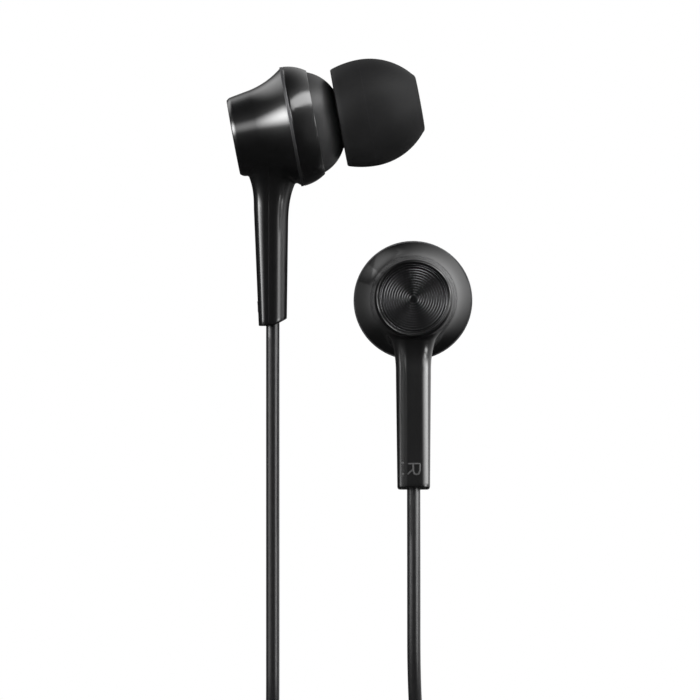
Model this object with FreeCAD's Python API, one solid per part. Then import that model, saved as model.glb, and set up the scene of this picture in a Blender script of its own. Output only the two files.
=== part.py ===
import FreeCAD, Part
import math
import os

from FreeCAD import Placement, Rotation, Vector

# Wired earphones with silicone tips, held up in the air the way two ears hold them.
# All sizes are millimetres and all angles are degrees.
# +Z is up, +Y points away from the viewer, and the origin is where the left ear grips its tip.

# How the two earbuds are held
stem_lean = 10.5            # the ear axis rises by this much from square to the stem
right_nod = 1.3             # the right earbud's ear axis dips by this much
right_bud_x = 5.22          # middle of the right earbud's back face
right_bud_y = 4.5
right_bud_z = -20.77

# Rear housing, measured along the ear axis from the flat back face
stem_station = 4.16         # where the stem's middle line crosses the ear axis
back_radius = 4.40
back_round = 0.28
disc_recess_radius = 4.02
disc_recess_depth = 0.90
disc_edge_bevel = 0.15
disc_setback = 0.06         # how far the disc sits below the housing's back edge
flare_cone_end = 2.60
flare_start_angle = 12.0
flare_end_angle = 38.0
belt_station = 6.30
belt_width = 0.32
belt_proud = 0.16           # how far the belt stands out from the flare's rim
spigot_wall = 0.64
spigot_length = 0.90        # how far the spigot passes the belt's back edge
back_wall = 0.70
cavity_radius = 4.15
driver_shelf_station = 5.20

# Front band and nozzle dome
band_front_station = 9.20
band_front_radius = 5.87
band_crown = 0.20           # how far the band's side bulges past a straight cone
dome_step = 0.17
dome_shoulder_station = 11.75
dome_shoulder_radius = 3.40
dome_crown = 0.33
dome_spigot_length = 1.00
dome_wall = 0.80
nozzle_front_station = 16.60
neck_radius = 2.20
lip_radius = 2.45
lip_taper = 0.25
lip_width = 1.05
nozzle_bore_radius = 1.55
mesh_radius = 1.85
mesh_thickness = 0.25

# Silicone ear tip
tip_back_station = 11.87
tip_widest_station = 15.10
tip_front_station = 21.10
tip_radius = 6.03
tip_back_radius = 5.49
tip_front_radius = 3.05
tip_edge_round = 0.35
tip_skirt_wall = 0.45
tip_crown_wall = 0.90
tip_core_radius = 3.30
tip_sound_radius = 1.80
tip_mouth_radius = 2.35
tip_mouth_depth = 1.10
tip_web_station = 18.30     # where the skirt and the core grow together
tip_web_round = 0.35

# Loudspeaker inside each earbud
driver_radius = 4.50
frame_flange_thickness = 0.45
frame_height = 1.50
frame_wall = 0.35
diaphragm_seat_depth = 0.40
diaphragm_seat_width = 0.40
diaphragm_film = 0.12
diaphragm_dome_radius = 2.40
diaphragm_dome_height = 0.45
surround_height = 0.22
surround_margin = 0.15      # flat film between the surround and the frame's throat
yoke_radius = 2.95
yoke_wall = 0.35
yoke_depth = 2.30
magnet_radius = 1.95
pole_radius = 2.05
pole_thickness = 0.50
coil_wall = 0.18
coil_length = 1.20
guard_height = 0.75
guard_plate = 0.25
guard_rim = 0.50
guard_hole_radius = 0.50
guard_hole_ring = 2.30
guard_holes = 6
terminal_width = 2.00
terminal_thickness = 0.40
terminal_margin = 0.15

# Stem
stem_length = 21.90         # from the ear axis down to the flat bottom
stem_outer_face = -1.97     # flat outward face, at the straight part's top
stem_ear_face = 1.90
stem_half_width = 1.98
stem_outer_taper = 0.55     # how far the outward face comes in by the bottom
stem_ear_taper = 0.18
stem_side_taper = 0.14
stem_straight_top = 8.70
stem_root = 4.30
root_outer_spread = 0.98    # how far each side spreads where the stem grows from the housing
root_ear_spread = 1.62
root_side_spread = 0.78
root_sharpness = 2.6        # power of the curve by which the root spreads
stem_flat_share = 0.62      # share of the width that stays flat on the outward face
stem_round_share = 0.85     # depth of the round ear side, as a share of the half width
stem_bevel_depth = 0.75
stem_bore_radius = 1.20
stem_floor = 1.20
stem_chamfer_height = 0.85
stem_chamfer_start = 0.13
stem_parting = 0.15
crimp_length = 2.20

# Cords, splitter and tie
branch_diameter = 1.50
main_diameter = 2.00
floor_height = -84.00       # the surface that the spare cord lies on
hank_middle_x = -2.70
hank_near_y = 26.00
hank_run = 40.00
layer_gap = 0.15
left_outer_lane = 11.00
left_lane_step = 1.65
right_outer_lane = 12.50
right_lane_step = 1.30
branch_half_turns = 3
main_inner_lane = 7.20
main_lane_step = 1.35
main_half_turns = 5         # outward on the low layer, and as many inward on the high one
main_layer_pitch = 2.45
left_drop_height = 12.00    # where a hanging branch starts its bend, above its layer in the hank
right_drop_height = 13.00
right_lean_run = 9.00       # run along the leaning stem's line before the cord hangs plumb
left_landing_y = 10.00
left_landing_shift = 0.80   # sideways, towards the hank's outer lane
right_landing_y = 11.50
right_landing_shift = 2.00
right_lane_lead = 2.00      # how far before the hank's near end the branch is on its lane
cord_overlap_run = 8.00     # from the hank's near end to where the branch's hank takes over
branch_shift_radius = 8.00
main_shift_radius = 7.00
climb_radius = 8.00
cord_end_run = 2.00         # straight run where a cord enters the splitter or the plug
splitter_length = 10.50
splitter_width = 4.40
splitter_thickness = 2.60
splitter_taper_share = 0.45
splitter_strand_gap = 0.50
splitter_tail_wall = 0.45
splitter_tail_skin = 0.20
tie_setback = 8.00          # from the hank's near end to the tie
tie_width = 2.40
tie_thickness = 0.35
tie_corner = 1.05           # inside corner's bevel

# Plug
plug_shaft_radius = 1.75
plug_shaft_length = 14.00
plug_tip_length = 3.00
plug_ring_length = 1.60
plug_insulator_length = 0.80
plug_insulator_setback = 0.30
plug_body_radius = 2.70
plug_body_length = 18.00
plug_body_back_bevel = 0.60
plug_body_front_bevel = 0.40
plug_relief_length = 7.00
plug_relief_back_wall = 0.35
plug_relief_front_step = 0.75
tip_band_length = 0.50      # full-width band at the back of the plug's tip
tip_waist_share = 0.45      # where the tip's waist is, as a share of its length
tip_waist_radius = 1.26
tip_bulb_radius = 1.58
tip_bulb_length = 0.55
tip_nose_radius = 0.70
tip_nose_length = 0.15

# Clearances
fit = 0.03                  # pieces that push or clip together
running_fit = 0.05          # the tip over the nozzle
joint_face = 0.02           # flat faces that rest on each other
overcut = 1.00              # how far a cutting shape passes the face that it opens

# Round pieces have flat facets, few enough for pieces this small
facets = 28                 # round a piece that shows
hidden_facets = 12          # round a bore, a core or a piece inside
plug_facets = 18
stem_round_chords = 6       # round the stem's ear side
splitter_round_chords = 4   # round each side of the splitter
cord_sides = 6              # sides of the cord's section where it hangs free
hank_sides = 5              # sides of the cord's section in the hank

os.makedirs("parts", exist_ok=True)
ear_axis = Vector(1, 0, 0)


def export(name, shape):
    """Write one node, and say so if its solid is not sound."""
    if not shape.isValid() or shape.Volume <= 0:
        print("unsound solid:", name)
    shape.exportStep(os.path.join("parts", name + ".step"))


def turned(profile, sides=facets):
    """Solid turned about the ear axis, with flats that touch each radius of the profile.

    The profile is a closed loop of (station, radius) points that runs from the back outwards,
    then forwards and back in to where it began.
    """
    reach = 1 / math.cos(math.pi / sides)
    angles = [2 * math.pi * k / sides for k in range(sides)]
    ways = [Vector(0, reach * math.sin(a), reach * math.cos(a)) for a in angles]
    faces = []
    for (back, back_r), (front, front_r) in zip(profile, profile[1:] + profile[:1]):
        if back_r == 0 and front_r == 0:
            continue
        for k in range(sides):
            corners = [
                ear_axis * back + ways[k - 1] * back_r,
                ear_axis * back + ways[k] * back_r,
                ear_axis * front + ways[k] * front_r,
                ear_axis * front + ways[k - 1] * front_r,
            ]
            if back_r == 0:
                corners.pop(0)
            if front_r == 0:
                corners.pop()
            faces.append(Part.Face(Part.makePolygon(corners + corners[:1])))
    return Part.Solid(Part.Shell(faces)).removeSplitter()


def drum(x_from, x_to, radius, sides=hidden_facets):
    """Bar on the ear axis."""
    return turned([(x_from, 0), (x_from, radius), (x_to, radius), (x_to, 0)], sides)


def sleeve(x_from, x_to, radius, bore, sides=hidden_facets):
    """Tube on the ear axis."""
    return turned([(x_from, bore), (x_from, radius), (x_to, radius), (x_to, bore)], sides)


def bow(start, end, rise, chords):
    """Points after `start` of an arc to `end` that stands `rise` outside its chord."""
    chord = (end[0] - start[0], end[1] - start[1])
    half = math.hypot(*chord) / 2
    radius = (half * half + rise * rise) / (2 * rise)
    half_angle = math.asin(half / radius)
    along = (chord[0] / (2 * half), chord[1] / (2 * half))
    points = []
    for i in range(1, chords):
        angle = half_angle * (2 * i / chords - 1)
        run = half + radius * math.sin(angle)
        lift = radius * math.cos(angle) - (radius - rise)
        points.append(
            (start[0] + along[0] * run - along[1] * lift, start[1] + along[1] * run + along[0] * lift)
        )
    return points + [end]


def level_rise(level_end, far_end):
    """Rise of an arc that is level with the axis at one end and reaches the other."""
    run = abs(far_end[0] - level_end[0])
    drop = abs(far_end[1] - level_end[1])
    radius = (run * run + drop * drop) / (2 * drop)
    half_chord = math.hypot(run, drop) / 2
    return radius - math.sqrt(radius * radius - half_chord * half_chord)


# Rear housing: a horn-shaped shell with the outward half of the stem moulded on
flare_chords = 3
sin_start = math.sin(math.radians(flare_start_angle))
cos_start = math.cos(math.radians(flare_start_angle))
flare_arc = (belt_station - flare_cone_end) / (
    math.sin(math.radians(flare_end_angle)) - sin_start
)
cone_end_radius = back_radius + (flare_cone_end - back_round) * sin_start / cos_start
spigot_radius = driver_radius + fit + spigot_wall
spigot_end = belt_station + spigot_length
belt_front = belt_station + belt_width
band_chords = 3


def flare_point(angle):
    """Point of the flare's arc where its slope is `angle`."""
    turn = math.radians(angle)
    along = flare_cone_end + flare_arc * (math.sin(turn) - sin_start)
    return (along, cone_end_radius + flare_arc * (cos_start - math.cos(turn)))


horn_skin = [
    (0, back_radius - back_round),
    (back_round, back_radius),
    (flare_cone_end, cone_end_radius),
]
for i in range(1, flare_chords + 1):
    slope = flare_start_angle + (flare_end_angle - flare_start_angle) * i / flare_chords
    horn_skin.append(flare_point(slope))
belt_radius = horn_skin[-1][1] + belt_proud
band_skin = [(belt_front, belt_radius)]
band_skin += bow(
    (belt_front, belt_radius), (band_front_station, band_front_radius), band_crown, band_chords
)


def filled(skin, grow=0.0):
    """Solid inside a skin of (station, radius) points, with each radius grown by a gap."""
    profile = [(skin[0][0], 0)]
    profile += [(station, radius + grow) for station, radius in skin]
    return turned(profile + [(skin[-1][0], 0)])


def stem_section(depth):
    """Closed wire of the stem, `depth` below the ear axis: flat outward face, bevels, round ear side."""
    down = max(0, (depth - stem_straight_top) / (stem_length - stem_straight_top))
    spread = max(0, (stem_straight_top - depth) / (stem_straight_top - stem_root)) ** root_sharpness
    outer = stem_outer_face + stem_outer_taper * down - root_outer_spread * spread
    ear = stem_ear_face - stem_ear_taper * down + root_ear_spread * spread
    half = stem_half_width - stem_side_taper * down + root_side_spread * spread
    flat = half * stem_flat_share
    round_depth = half * stem_round_share
    points = [(outer, flat), (outer + stem_bevel_depth, half)]
    for i in range(stem_round_chords + 1):
        angle = math.pi / 2 - math.pi * i / stem_round_chords
        points.append((ear - round_depth * (1 - math.cos(angle)), half * math.sin(angle)))
    points += [(outer + stem_bevel_depth, -half), (outer, -flat)]
    corners = [Vector(x, y, -depth) for x, y in points]
    return Part.makePolygon(corners + corners[:1])


def stem_body():
    """Whole outside of the stem: spread at its root, tapered below, slanted under its ear side."""
    root_steps = 4
    step = (stem_straight_top - stem_root) / root_steps
    depths = [stem_root + step * i for i in range(root_steps + 1)] + [stem_length]
    body = Part.makeLoft([stem_section(depth) for depth in depths], True, True)
    width = 2 * stem_half_width
    low_ear_face = stem_ear_face - stem_ear_taper
    slope = stem_chamfer_height / (low_ear_face - stem_chamfer_start)
    corners = [
        Vector(stem_chamfer_start, -width, -stem_length),
        Vector(stem_chamfer_start + width, -width, -stem_length),
        Vector(stem_chamfer_start + width, -width, -stem_length + slope * width),
    ]
    wedge = Part.Face(Part.makePolygon(corners + corners[:1])).extrude(Vector(0, 2 * width, 0))
    return body.cut(wedge)


lean = Rotation(Vector(0, 1, 0), -stem_lean)


def on_stem(shape):
    """Move a shape from the ear axis's own frame to the stem's frame, which hangs upright."""
    moved = shape.copy()
    moved.Placement = Placement(Vector(0, 0, 0), lean).multiply(
        Placement(Vector(-stem_station, 0, 0), Rotation())
    )
    return moved


def post(z_from, z_to, radius):
    """Upright bar in the stem's frame, on the parting plane."""
    shape = drum(z_from, z_to, radius)
    shape.Placement = Placement(
        Vector(stem_parting, 0, 0), Rotation(Vector(0, 1, 0), -90)
    )
    return shape


def half_space(x_from, x_to):
    """Block that holds one side of the stem's parting plane."""
    return Part.makeBox(
        x_to - x_from,
        2 * stem_length,
        2 * stem_length,
        Vector(x_from, -stem_length, -2 * stem_length),
    )


cavity_back = disc_recess_depth + back_wall
seat_radius = driver_radius + fit
cavity = turned(
    [
        (cavity_back, 0),
        (cavity_back, cavity_radius),
        (driver_shelf_station, cavity_radius),
        (driver_shelf_station, seat_radius),
        (spigot_end + overcut, seat_radius),
        (spigot_end + overcut, 0),
    ],
    hidden_facets,
)
disc_recess = drum(-overcut, disc_recess_depth, disc_recess_radius, facets)
stem = stem_body()
crimp_bottom = stem_floor - stem_length
stem_bore = post(crimp_bottom, -stem_root + stem_bore_radius, stem_bore_radius)
cord_hole = post(
    -stem_length - overcut, crimp_bottom + overcut, branch_diameter / 2 + fit
)
horn = filled(horn_skin).fuse(drum(belt_station, spigot_end, spigot_radius))
outer_half = stem.common(half_space(-stem_length, stem_parting))
rear_housing = on_stem(horn).fuse(outer_half).cut(stem_bore).cut(cord_hole)
rear_housing = rear_housing.cut(on_stem(cavity)).cut(on_stem(disc_recess)).removeSplitter()

# Stem cover: the ear-side half of the stem, ended where it meets the rings of the housing
ear_half = stem.common(half_space(stem_parting, stem_length))
rings = filled(horn_skin + [(belt_station, belt_radius)] + band_skin, fit)
stem_cover = ear_half.cut(on_stem(rings)).cut(stem_bore).cut(cord_hole)
stem_cover = max(stem_cover.Solids, key=lambda solid: solid.Volume)

# Turned disc that closes the back of the horn
disc_radius = disc_recess_radius - fit
back_disc = turned(
    [
        (disc_setback, 0),
        (disc_setback, disc_radius - disc_edge_bevel),
        (disc_setback + disc_edge_bevel, disc_radius),
        (disc_recess_depth, disc_radius),
        (disc_recess_depth, 0),
    ]
)

# Belt ring and front band slide over the horn's spigot
ring_bore = drum(belt_station - overcut, band_front_station + overcut, spigot_radius + fit)
belt_ring = drum(belt_station, belt_front, belt_radius, facets).cut(ring_bore)
front_band = filled(band_skin).cut(ring_bore)

# Nozzle dome: satin dome with the sound tube that carries the ear tip
dome_chords = 3
dome_start = (band_front_station, band_front_radius - dome_step)
dome_end = (dome_shoulder_station, dome_shoulder_radius)
dome_back = band_front_station - dome_spigot_length
funnel_end = dome_shoulder_station - dome_wall
lip_start = nozzle_front_station - lip_width
mesh_back = nozzle_front_station - mesh_thickness
nozzle = turned(
    [
        (dome_shoulder_station, 0),
        (dome_shoulder_station, neck_radius),
        (lip_start, neck_radius),
        (lip_start, lip_radius),
        (nozzle_front_station, lip_radius - lip_taper),
        (nozzle_front_station, 0),
    ],
    hidden_facets,
)
sound_way = turned(
    [
        (dome_back - overcut, 0),
        (dome_back - overcut, spigot_radius - dome_wall),
        (dome_back, spigot_radius - dome_wall),
        (funnel_end, nozzle_bore_radius),
        (mesh_back, nozzle_bore_radius),
        (mesh_back, mesh_radius + fit),
        (nozzle_front_station + overcut, mesh_radius + fit),
        (nozzle_front_station + overcut, 0),
    ],
    hidden_facets,
)
dome = filled([dome_start] + bow(dome_start, dome_end, dome_crown, dome_chords))
nozzle_dome = dome.fuse(drum(dome_back, band_front_station, spigot_radius)).fuse(nozzle)
nozzle_dome = nozzle_dome.cut(sound_way).removeSplitter()
nozzle_mesh = drum(mesh_back, nozzle_front_station, mesh_radius)

# Ear tip: a soft dome that folds back from its mouth round a core tube
back_chords = 2
crown_chords = 5
web_chords = 2
tip_crown = (tip_widest_station, tip_radius)
tip_back = (tip_back_station, tip_back_radius)
tip_nose = (tip_front_station - tip_edge_round, tip_front_radius + tip_edge_round)
tip_skin = [tip_back]
tip_skin += bow(tip_back, tip_crown, level_rise(tip_crown, tip_back), back_chords)
tip_skin += bow(tip_crown, tip_nose, level_rise(tip_crown, tip_nose), crown_chords)
tip_skin.append((tip_front_station, tip_front_radius))
core_back = dome_shoulder_station + running_fit
tip_bore_radius = lip_radius + running_fit
bore_end = nozzle_front_station + running_fit
inner_crown = (tip_widest_station, tip_radius - tip_crown_wall)
web = (tip_web_station - tip_web_round, tip_core_radius + tip_web_round)
skirt_space = turned(
    [
        (tip_back_station - overcut, tip_core_radius),
        (tip_back_station - overcut, tip_back_radius - tip_skirt_wall),
        inner_crown,
        *bow(inner_crown, web, level_rise(inner_crown, web), web_chords),
        (tip_web_station - 2 * tip_web_round, tip_core_radius),
    ],
    hidden_facets,
)
sound_channel = turned(
    [
        (core_back - overcut, 0),
        (core_back - overcut, tip_bore_radius),
        (bore_end, tip_bore_radius),
        (bore_end, tip_sound_radius),
        (tip_front_station - tip_mouth_depth, tip_sound_radius),
        (tip_front_station, tip_mouth_radius),
        (tip_front_station + overcut, tip_mouth_radius),
        (tip_front_station + overcut, 0),
    ],
    hidden_facets,
)
tip_core = drum(core_back, tip_web_station, tip_core_radius)
ear_tip = filled(tip_skin).cut(skirt_space).fuse(tip_core).cut(sound_channel).removeSplitter()

# Loudspeaker: frame, magnet system, voice coil, diaphragm, guard and terminal board
frame_back = driver_shelf_station + joint_face
frame_front = frame_back + frame_height
seat_station = frame_front - diaphragm_seat_depth
diaphragm_seat_radius = driver_radius - frame_wall
frame_throat_radius = diaphragm_seat_radius - diaphragm_seat_width
yoke_hole_radius = yoke_radius + fit
frame_inside = frame_back + frame_flange_thickness
driver_frame = turned(
    [
        (frame_back, yoke_hole_radius),
        (frame_back, driver_radius),
        (frame_front, driver_radius),
        (frame_front, diaphragm_seat_radius),
        (seat_station, diaphragm_seat_radius),
        (seat_station, frame_throat_radius),
        (frame_inside, frame_throat_radius),
        (frame_inside, yoke_hole_radius),
    ],
    hidden_facets,
)
yoke_front = frame_inside
yoke_back = yoke_front - yoke_depth
yoke_floor = yoke_back + yoke_wall
yoke_inner_radius = yoke_radius - yoke_wall
magnet_yoke = turned(
    [
        (yoke_back, 0),
        (yoke_back, yoke_radius),
        (yoke_front, yoke_radius),
        (yoke_front, yoke_inner_radius),
        (yoke_floor, yoke_inner_radius),
        (yoke_floor, 0),
    ],
    hidden_facets,
)
pole_back = yoke_front - pole_thickness
magnet = drum(yoke_floor, pole_back, magnet_radius)
pole_plate = drum(pole_back, yoke_front, pole_radius)
coil_middle_radius = (pole_radius + yoke_inner_radius) / 2
coil_front = seat_station - joint_face
voice_coil = sleeve(
    coil_front - coil_length,
    coil_front,
    coil_middle_radius + coil_wall / 2,
    coil_middle_radius - coil_wall / 2,
)
diaphragm_rim = diaphragm_seat_radius - fit
surround_outer = frame_throat_radius - surround_margin
surround_middle = (diaphragm_dome_radius + surround_outer) / 2
film_front = seat_station + diaphragm_film
diaphragm = turned(
    [
        (seat_station + diaphragm_dome_height, 0),
        (seat_station, diaphragm_dome_radius),
        (seat_station + surround_height, surround_middle),
        (seat_station, surround_outer),
        (seat_station, diaphragm_rim),
        (film_front, diaphragm_rim),
        (film_front, surround_outer),
        (film_front + surround_height, surround_middle),
        (film_front, diaphragm_dome_radius),
        (film_front + diaphragm_dome_height, 0),
    ],
    hidden_facets,
)
guard_front = film_front + guard_height
driver_guard = turned(
    [
        (film_front, diaphragm_rim - guard_rim),
        (film_front, diaphragm_rim),
        (guard_front, diaphragm_rim),
        (guard_front, 0),
        (guard_front - guard_plate, 0),
        (guard_front - guard_plate, diaphragm_rim - guard_rim),
    ],
    hidden_facets,
)
for i in range(guard_holes):
    hole = drum(film_front, guard_front + overcut, guard_hole_radius, guard_holes)
    hole.translate(Vector(0, 0, guard_hole_ring))
    hole.rotate(Vector(0, 0, 0), ear_axis, 360 / guard_holes * i)
    driver_guard = driver_guard.cut(hole)
terminal_low = yoke_hole_radius + terminal_margin
terminal_high = math.sqrt(cavity_radius**2 - (terminal_width / 2) ** 2)
terminal_board = Part.makeBox(
    terminal_thickness,
    terminal_width,
    terminal_high - terminal_low - terminal_margin,
    Vector(frame_back - joint_face - terminal_thickness, -terminal_width / 2, terminal_low),
)

# Crimp that keeps the cord from pulling out of the stem
cord_crimp = post(crimp_bottom, crimp_bottom + crimp_length, stem_bore_radius - fit)

# Each earbud is the same set of pieces, held in its own place
grip = (tip_widest_station - stem_station) * Vector(
    math.cos(math.radians(stem_lean)), 0, math.sin(math.radians(stem_lean))
)
left_place = Placement(Vector(0, 0, 0) - grip, Rotation())
right_turn = Rotation(Vector(1, 0, 0), -(stem_lean + right_nod)).multiply(
    Rotation(Vector(0, 0, 1), 90)
)
right_ear_axis = right_turn.multVec(lean.multVec(ear_axis))
right_place = Placement(
    Vector(right_bud_x, right_bud_y, right_bud_z) + stem_station * right_ear_axis, right_turn
)
bud_pieces = {
    "rear_housing": rear_housing,
    "stem_cover": stem_cover,
    "cord_crimp": cord_crimp,
    "back_disc": on_stem(back_disc),
    "belt_ring": on_stem(belt_ring),
    "front_band": on_stem(front_band),
    "nozzle_dome": on_stem(nozzle_dome),
    "nozzle_mesh": on_stem(nozzle_mesh),
    "ear_tip": on_stem(ear_tip),
    "driver_frame": on_stem(driver_frame),
    "magnet_yoke": on_stem(magnet_yoke),
    "magnet": on_stem(magnet),
    "pole_plate": on_stem(pole_plate),
    "voice_coil": on_stem(voice_coil),
    "diaphragm": on_stem(diaphragm),
    "driver_guard": on_stem(driver_guard),
    "terminal_board": on_stem(terminal_board),
}
for side, place in (("left", left_place), ("right", right_place)):
    for name, shape in bud_pieces.items():
        placed = shape.copy()
        placed.Placement = place.multiply(shape.Placement)
        export(side + "_" + name, placed)


# Cords that hang free: straight runs joined by tangent arcs
def polygon(middle, along, radius, sides, up):
    """Regular polygon wire square to `along`, with a flat side towards `up`."""
    across = along.cross(up).normalize()
    level = across.cross(along).normalize()
    points = []
    for i in range(sides + 1):
        turn = 2 * math.pi * (i + 0.5) / sides
        points.append(
            middle + across * (radius * math.sin(turn)) + level * (radius * math.cos(turn))
        )
    return Part.makePolygon(points)


def swept(path, section, name, length):
    """Tube along a path; prints how its volume compares with section times length."""
    sweep = Part.BRepOffsetAPI.MakePipeShell(path)
    sweep.add(section)
    sweep.build()
    sweep.makeSolid()
    tube = sweep.shape()
    area = Part.Face(section).Area
    print(name, "length", round(length, 1), "volume ratio", round(tube.Volume / area / length, 4))
    return tube


def free_cord(name, points, diameter):
    """Cord through a route of points; each arc is as large as its two runs allow."""
    edges = []
    radii = []
    here = points[0]
    for before, corner, after in zip(points, points[1:], points[2:]):
        into, out = (corner - before).normalize(), (after - corner).normalize()
        turn = into.getAngle(out)
        reach = 0.45 * min(before.distanceToPoint(corner), corner.distanceToPoint(after))
        radius = reach / math.tan(turn / 2)
        start, end = corner - into * reach, corner + out * reach
        inward = (out - into).normalize()
        middle = corner + inward * (radius / math.cos(turn / 2) - radius)
        edges.append(Part.LineSegment(here, start).toShape())
        edges.append(Part.Arc(start, middle, end).toShape())
        radii.append(round(radius, 1))
        here = end
    edges.append(Part.LineSegment(here, points[-1]).toShape())
    path = Part.Wire(edges)
    print(name, "bend radii", radii)
    along = (points[1] - points[0]).normalize()
    section = polygon(points[0], along, diameter / 2, cord_sides, Vector(0, 1, 0))
    return swept(path, section, name, path.Length)


# Heights of the hank's layers, with the tie passing beneath the lowest one
tie_inside_low = floor_height + tie_thickness
left_layer = tie_inside_low + joint_face + branch_diameter / 2
right_layer = left_layer + branch_diameter + layer_gap
main_low_layer = right_layer + branch_diameter / 2 + main_diameter / 2 + 2 * layer_gap
main_high_layer = main_low_layer + main_layer_pitch
hank_top = main_high_layer + main_diameter / 2
tie_near_y = hank_near_y + tie_setback
tie_top = hank_top + layer_gap + tie_thickness
plug_z = tie_top + layer_gap + plug_body_radius
plug_tail = tie_near_y + tie_width / 2 + plug_body_length / 2 + plug_relief_length
hank_far_y = hank_near_y + hank_run

crimp_point = Vector(stem_parting, 0, crimp_bottom)
left_exit = left_place.multVec(crimp_point)
right_exit = right_place.multVec(crimp_point)
stem_down = right_turn.multVec(Vector(0, 0, -1))
left_lane_x = hank_middle_x - left_outer_lane
right_lane_x = hank_middle_x + right_outer_lane
right_drop = right_exit + stem_down * right_lean_run
hank_take_over_y = hank_near_y + cord_overlap_run
left_route = [
    left_exit,
    Vector(left_exit.x, left_exit.y, left_layer + left_drop_height),
    Vector(left_exit.x - left_landing_shift, left_landing_y, left_layer),
    Vector(left_lane_x, hank_near_y, left_layer),
    Vector(left_lane_x, hank_take_over_y, left_layer),
]
right_route = [
    right_exit,
    right_drop,
    Vector(right_drop.x, right_drop.y, right_layer + right_drop_height),
    Vector(right_drop.x + right_landing_shift, right_landing_y, right_layer),
    Vector(right_lane_x, hank_near_y - right_lane_lead, right_layer),
    Vector(right_lane_x, hank_take_over_y, right_layer),
]
export("left_branch_cord", free_cord("left_branch_cord", left_route, branch_diameter))
export("right_branch_cord", free_cord("right_branch_cord", right_route, branch_diameter))


# Hank: runs along Y joined by half turns, each a steady step nearer or further from the middle
class Strand:
    """A cord's middle line, laid edge by edge."""

    def __init__(self, start, heading):
        self.here = start
        self.heading = heading
        self.edges = []

    def run_to(self, y):
        """Straight run along Y."""
        end = Vector(self.here.x, y, self.here.z)
        self.edges.append(Part.LineSegment(self.here, end).toShape())
        self.here = end

    def run_to_turn(self):
        """Straight run to the end of the hank that lies ahead."""
        self.run_to(hank_far_y if self.heading > 0 else hank_near_y)

    def half_turn(self, x):
        """Level half turn that ends on another lane, heading back."""
        end = Vector(x, self.here.y, self.here.z)
        middle = (self.here + end) * 0.5
        middle.y += self.heading * abs(x - self.here.x) / 2
        self.edges.append(Part.Arc(self.here, middle, end).toShape())
        self.here = end
        self.heading = -self.heading

    def shift(self, x, z, radius):
        """Two equal arcs that move the line to another lane or layer as it runs."""
        end = Vector(x, self.here.y, z)
        offset = (end - self.here).Length
        turn = math.acos(1 - offset / (2 * radius))
        end.y += self.heading * shift_length(offset, radius)
        knee = (self.here + end) * 0.5
        sideways = Vector(x - self.here.x, 0, z - self.here.z).normalize()
        forward = Vector(0, self.heading, 0)
        chord = radius * math.sin(turn / 2)
        rise = radius * (1 - math.cos(turn / 2))
        first = self.here + forward * chord + sideways * rise
        second = end - forward * chord - sideways * rise
        self.edges.append(Part.Arc(self.here, first, knee).toShape())
        self.edges.append(Part.Arc(knee, second, end).toShape())
        self.here = end

    def tube(self, name, diameter):
        """Faceted tube along the line, with its least gap to itself measured and printed."""
        path = Part.Wire(self.edges)
        start = self.edges[0].firstVertex().Point
        first_way = Vector(0, self.edges[0].tangentAt(self.edges[0].FirstParameter).y, 0)
        section = polygon(start, first_way, diameter / 2, hank_sides, Vector(1, 0, 0))
        print(name, "least gap to itself", round(self.least_gap(diameter), 2))
        return swept(path, section, name, path.Length)

    def least_gap(self, diameter):
        """Least distance between the skins of stretches that are far apart along the line."""
        points = []
        along = 0.0
        for edge in self.edges:
            count = max(2, int(edge.Length / (diameter / 2)))
            for i, point in enumerate(edge.discretize(count)[:-1]):
                points.append((along + edge.Length * i / (count - 1), point))
            along += edge.Length
        apart = 6 * diameter
        least = min(
            p.distanceToPoint(q)
            for i, (s, p) in enumerate(points)
            for t, q in points[i + 1 :]
            if t - s > apart
        )
        return least - diameter


def shift_length(offset, radius):
    """How far along Y a shift of two arcs runs."""
    return 2 * radius * math.sin(math.acos(1 - offset / (2 * radius)))


strand_offset = (branch_diameter + splitter_strand_gap) / 2
splitter_z = (left_layer + right_layer) / 2
main_offset = math.hypot(main_inner_lane, main_low_layer - splitter_z)
splitter_exit = hank_near_y + shift_length(main_offset, main_shift_radius) + cord_end_run
splitter_entry = splitter_exit + splitter_length


def branch_strand(start, side, lane, lane_step):
    """Branch cord in the hank: spirals inward on its own layer, then shifts to the splitter."""
    strand = Strand(start, 1)
    for _ in range(branch_half_turns):
        strand.run_to_turn()
        lane -= lane_step
        side = -side
        strand.half_turn(hank_middle_x + side * lane)
    strand.shift(hank_middle_x + side * strand_offset, splitter_z, branch_shift_radius)
    strand.run_to(splitter_entry)
    return strand


left_strand = branch_strand(left_route[-1], -1, left_outer_lane, left_lane_step)
right_strand = branch_strand(right_route[-1], 1, right_outer_lane, right_lane_step)
export("left_branch_hank", left_strand.tube("left_branch_hank", branch_diameter))
export("right_branch_hank", right_strand.tube("right_branch_hank", branch_diameter))

main_strand = Strand(Vector(hank_middle_x, splitter_exit, splitter_z), -1)
main_strand.run_to(splitter_exit - cord_end_run)
main_strand.shift(hank_middle_x - main_inner_lane, main_low_layer, main_shift_radius)
main_lane = main_inner_lane
lane_side = -1
for outward in (1, -1):
    for i in range(main_half_turns):
        if i > 0:
            main_strand.run_to_turn()
        main_lane += outward * main_lane_step
        lane_side = -lane_side
        main_strand.half_turn(hank_middle_x + lane_side * main_lane)
    if outward > 0:
        climb = shift_length(main_layer_pitch, climb_radius)
        middle_y = (hank_near_y + hank_far_y) / 2
        main_strand.run_to(middle_y - main_strand.heading * climb / 2)
        main_strand.shift(main_strand.here.x, main_high_layer, climb_radius)
        main_strand.run_to_turn()
main_strand.shift(hank_middle_x, plug_z, main_shift_radius)
main_strand.run_to(plug_tail)
export("main_cord_hank", main_strand.tube("main_cord_hank", main_diameter))


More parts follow.
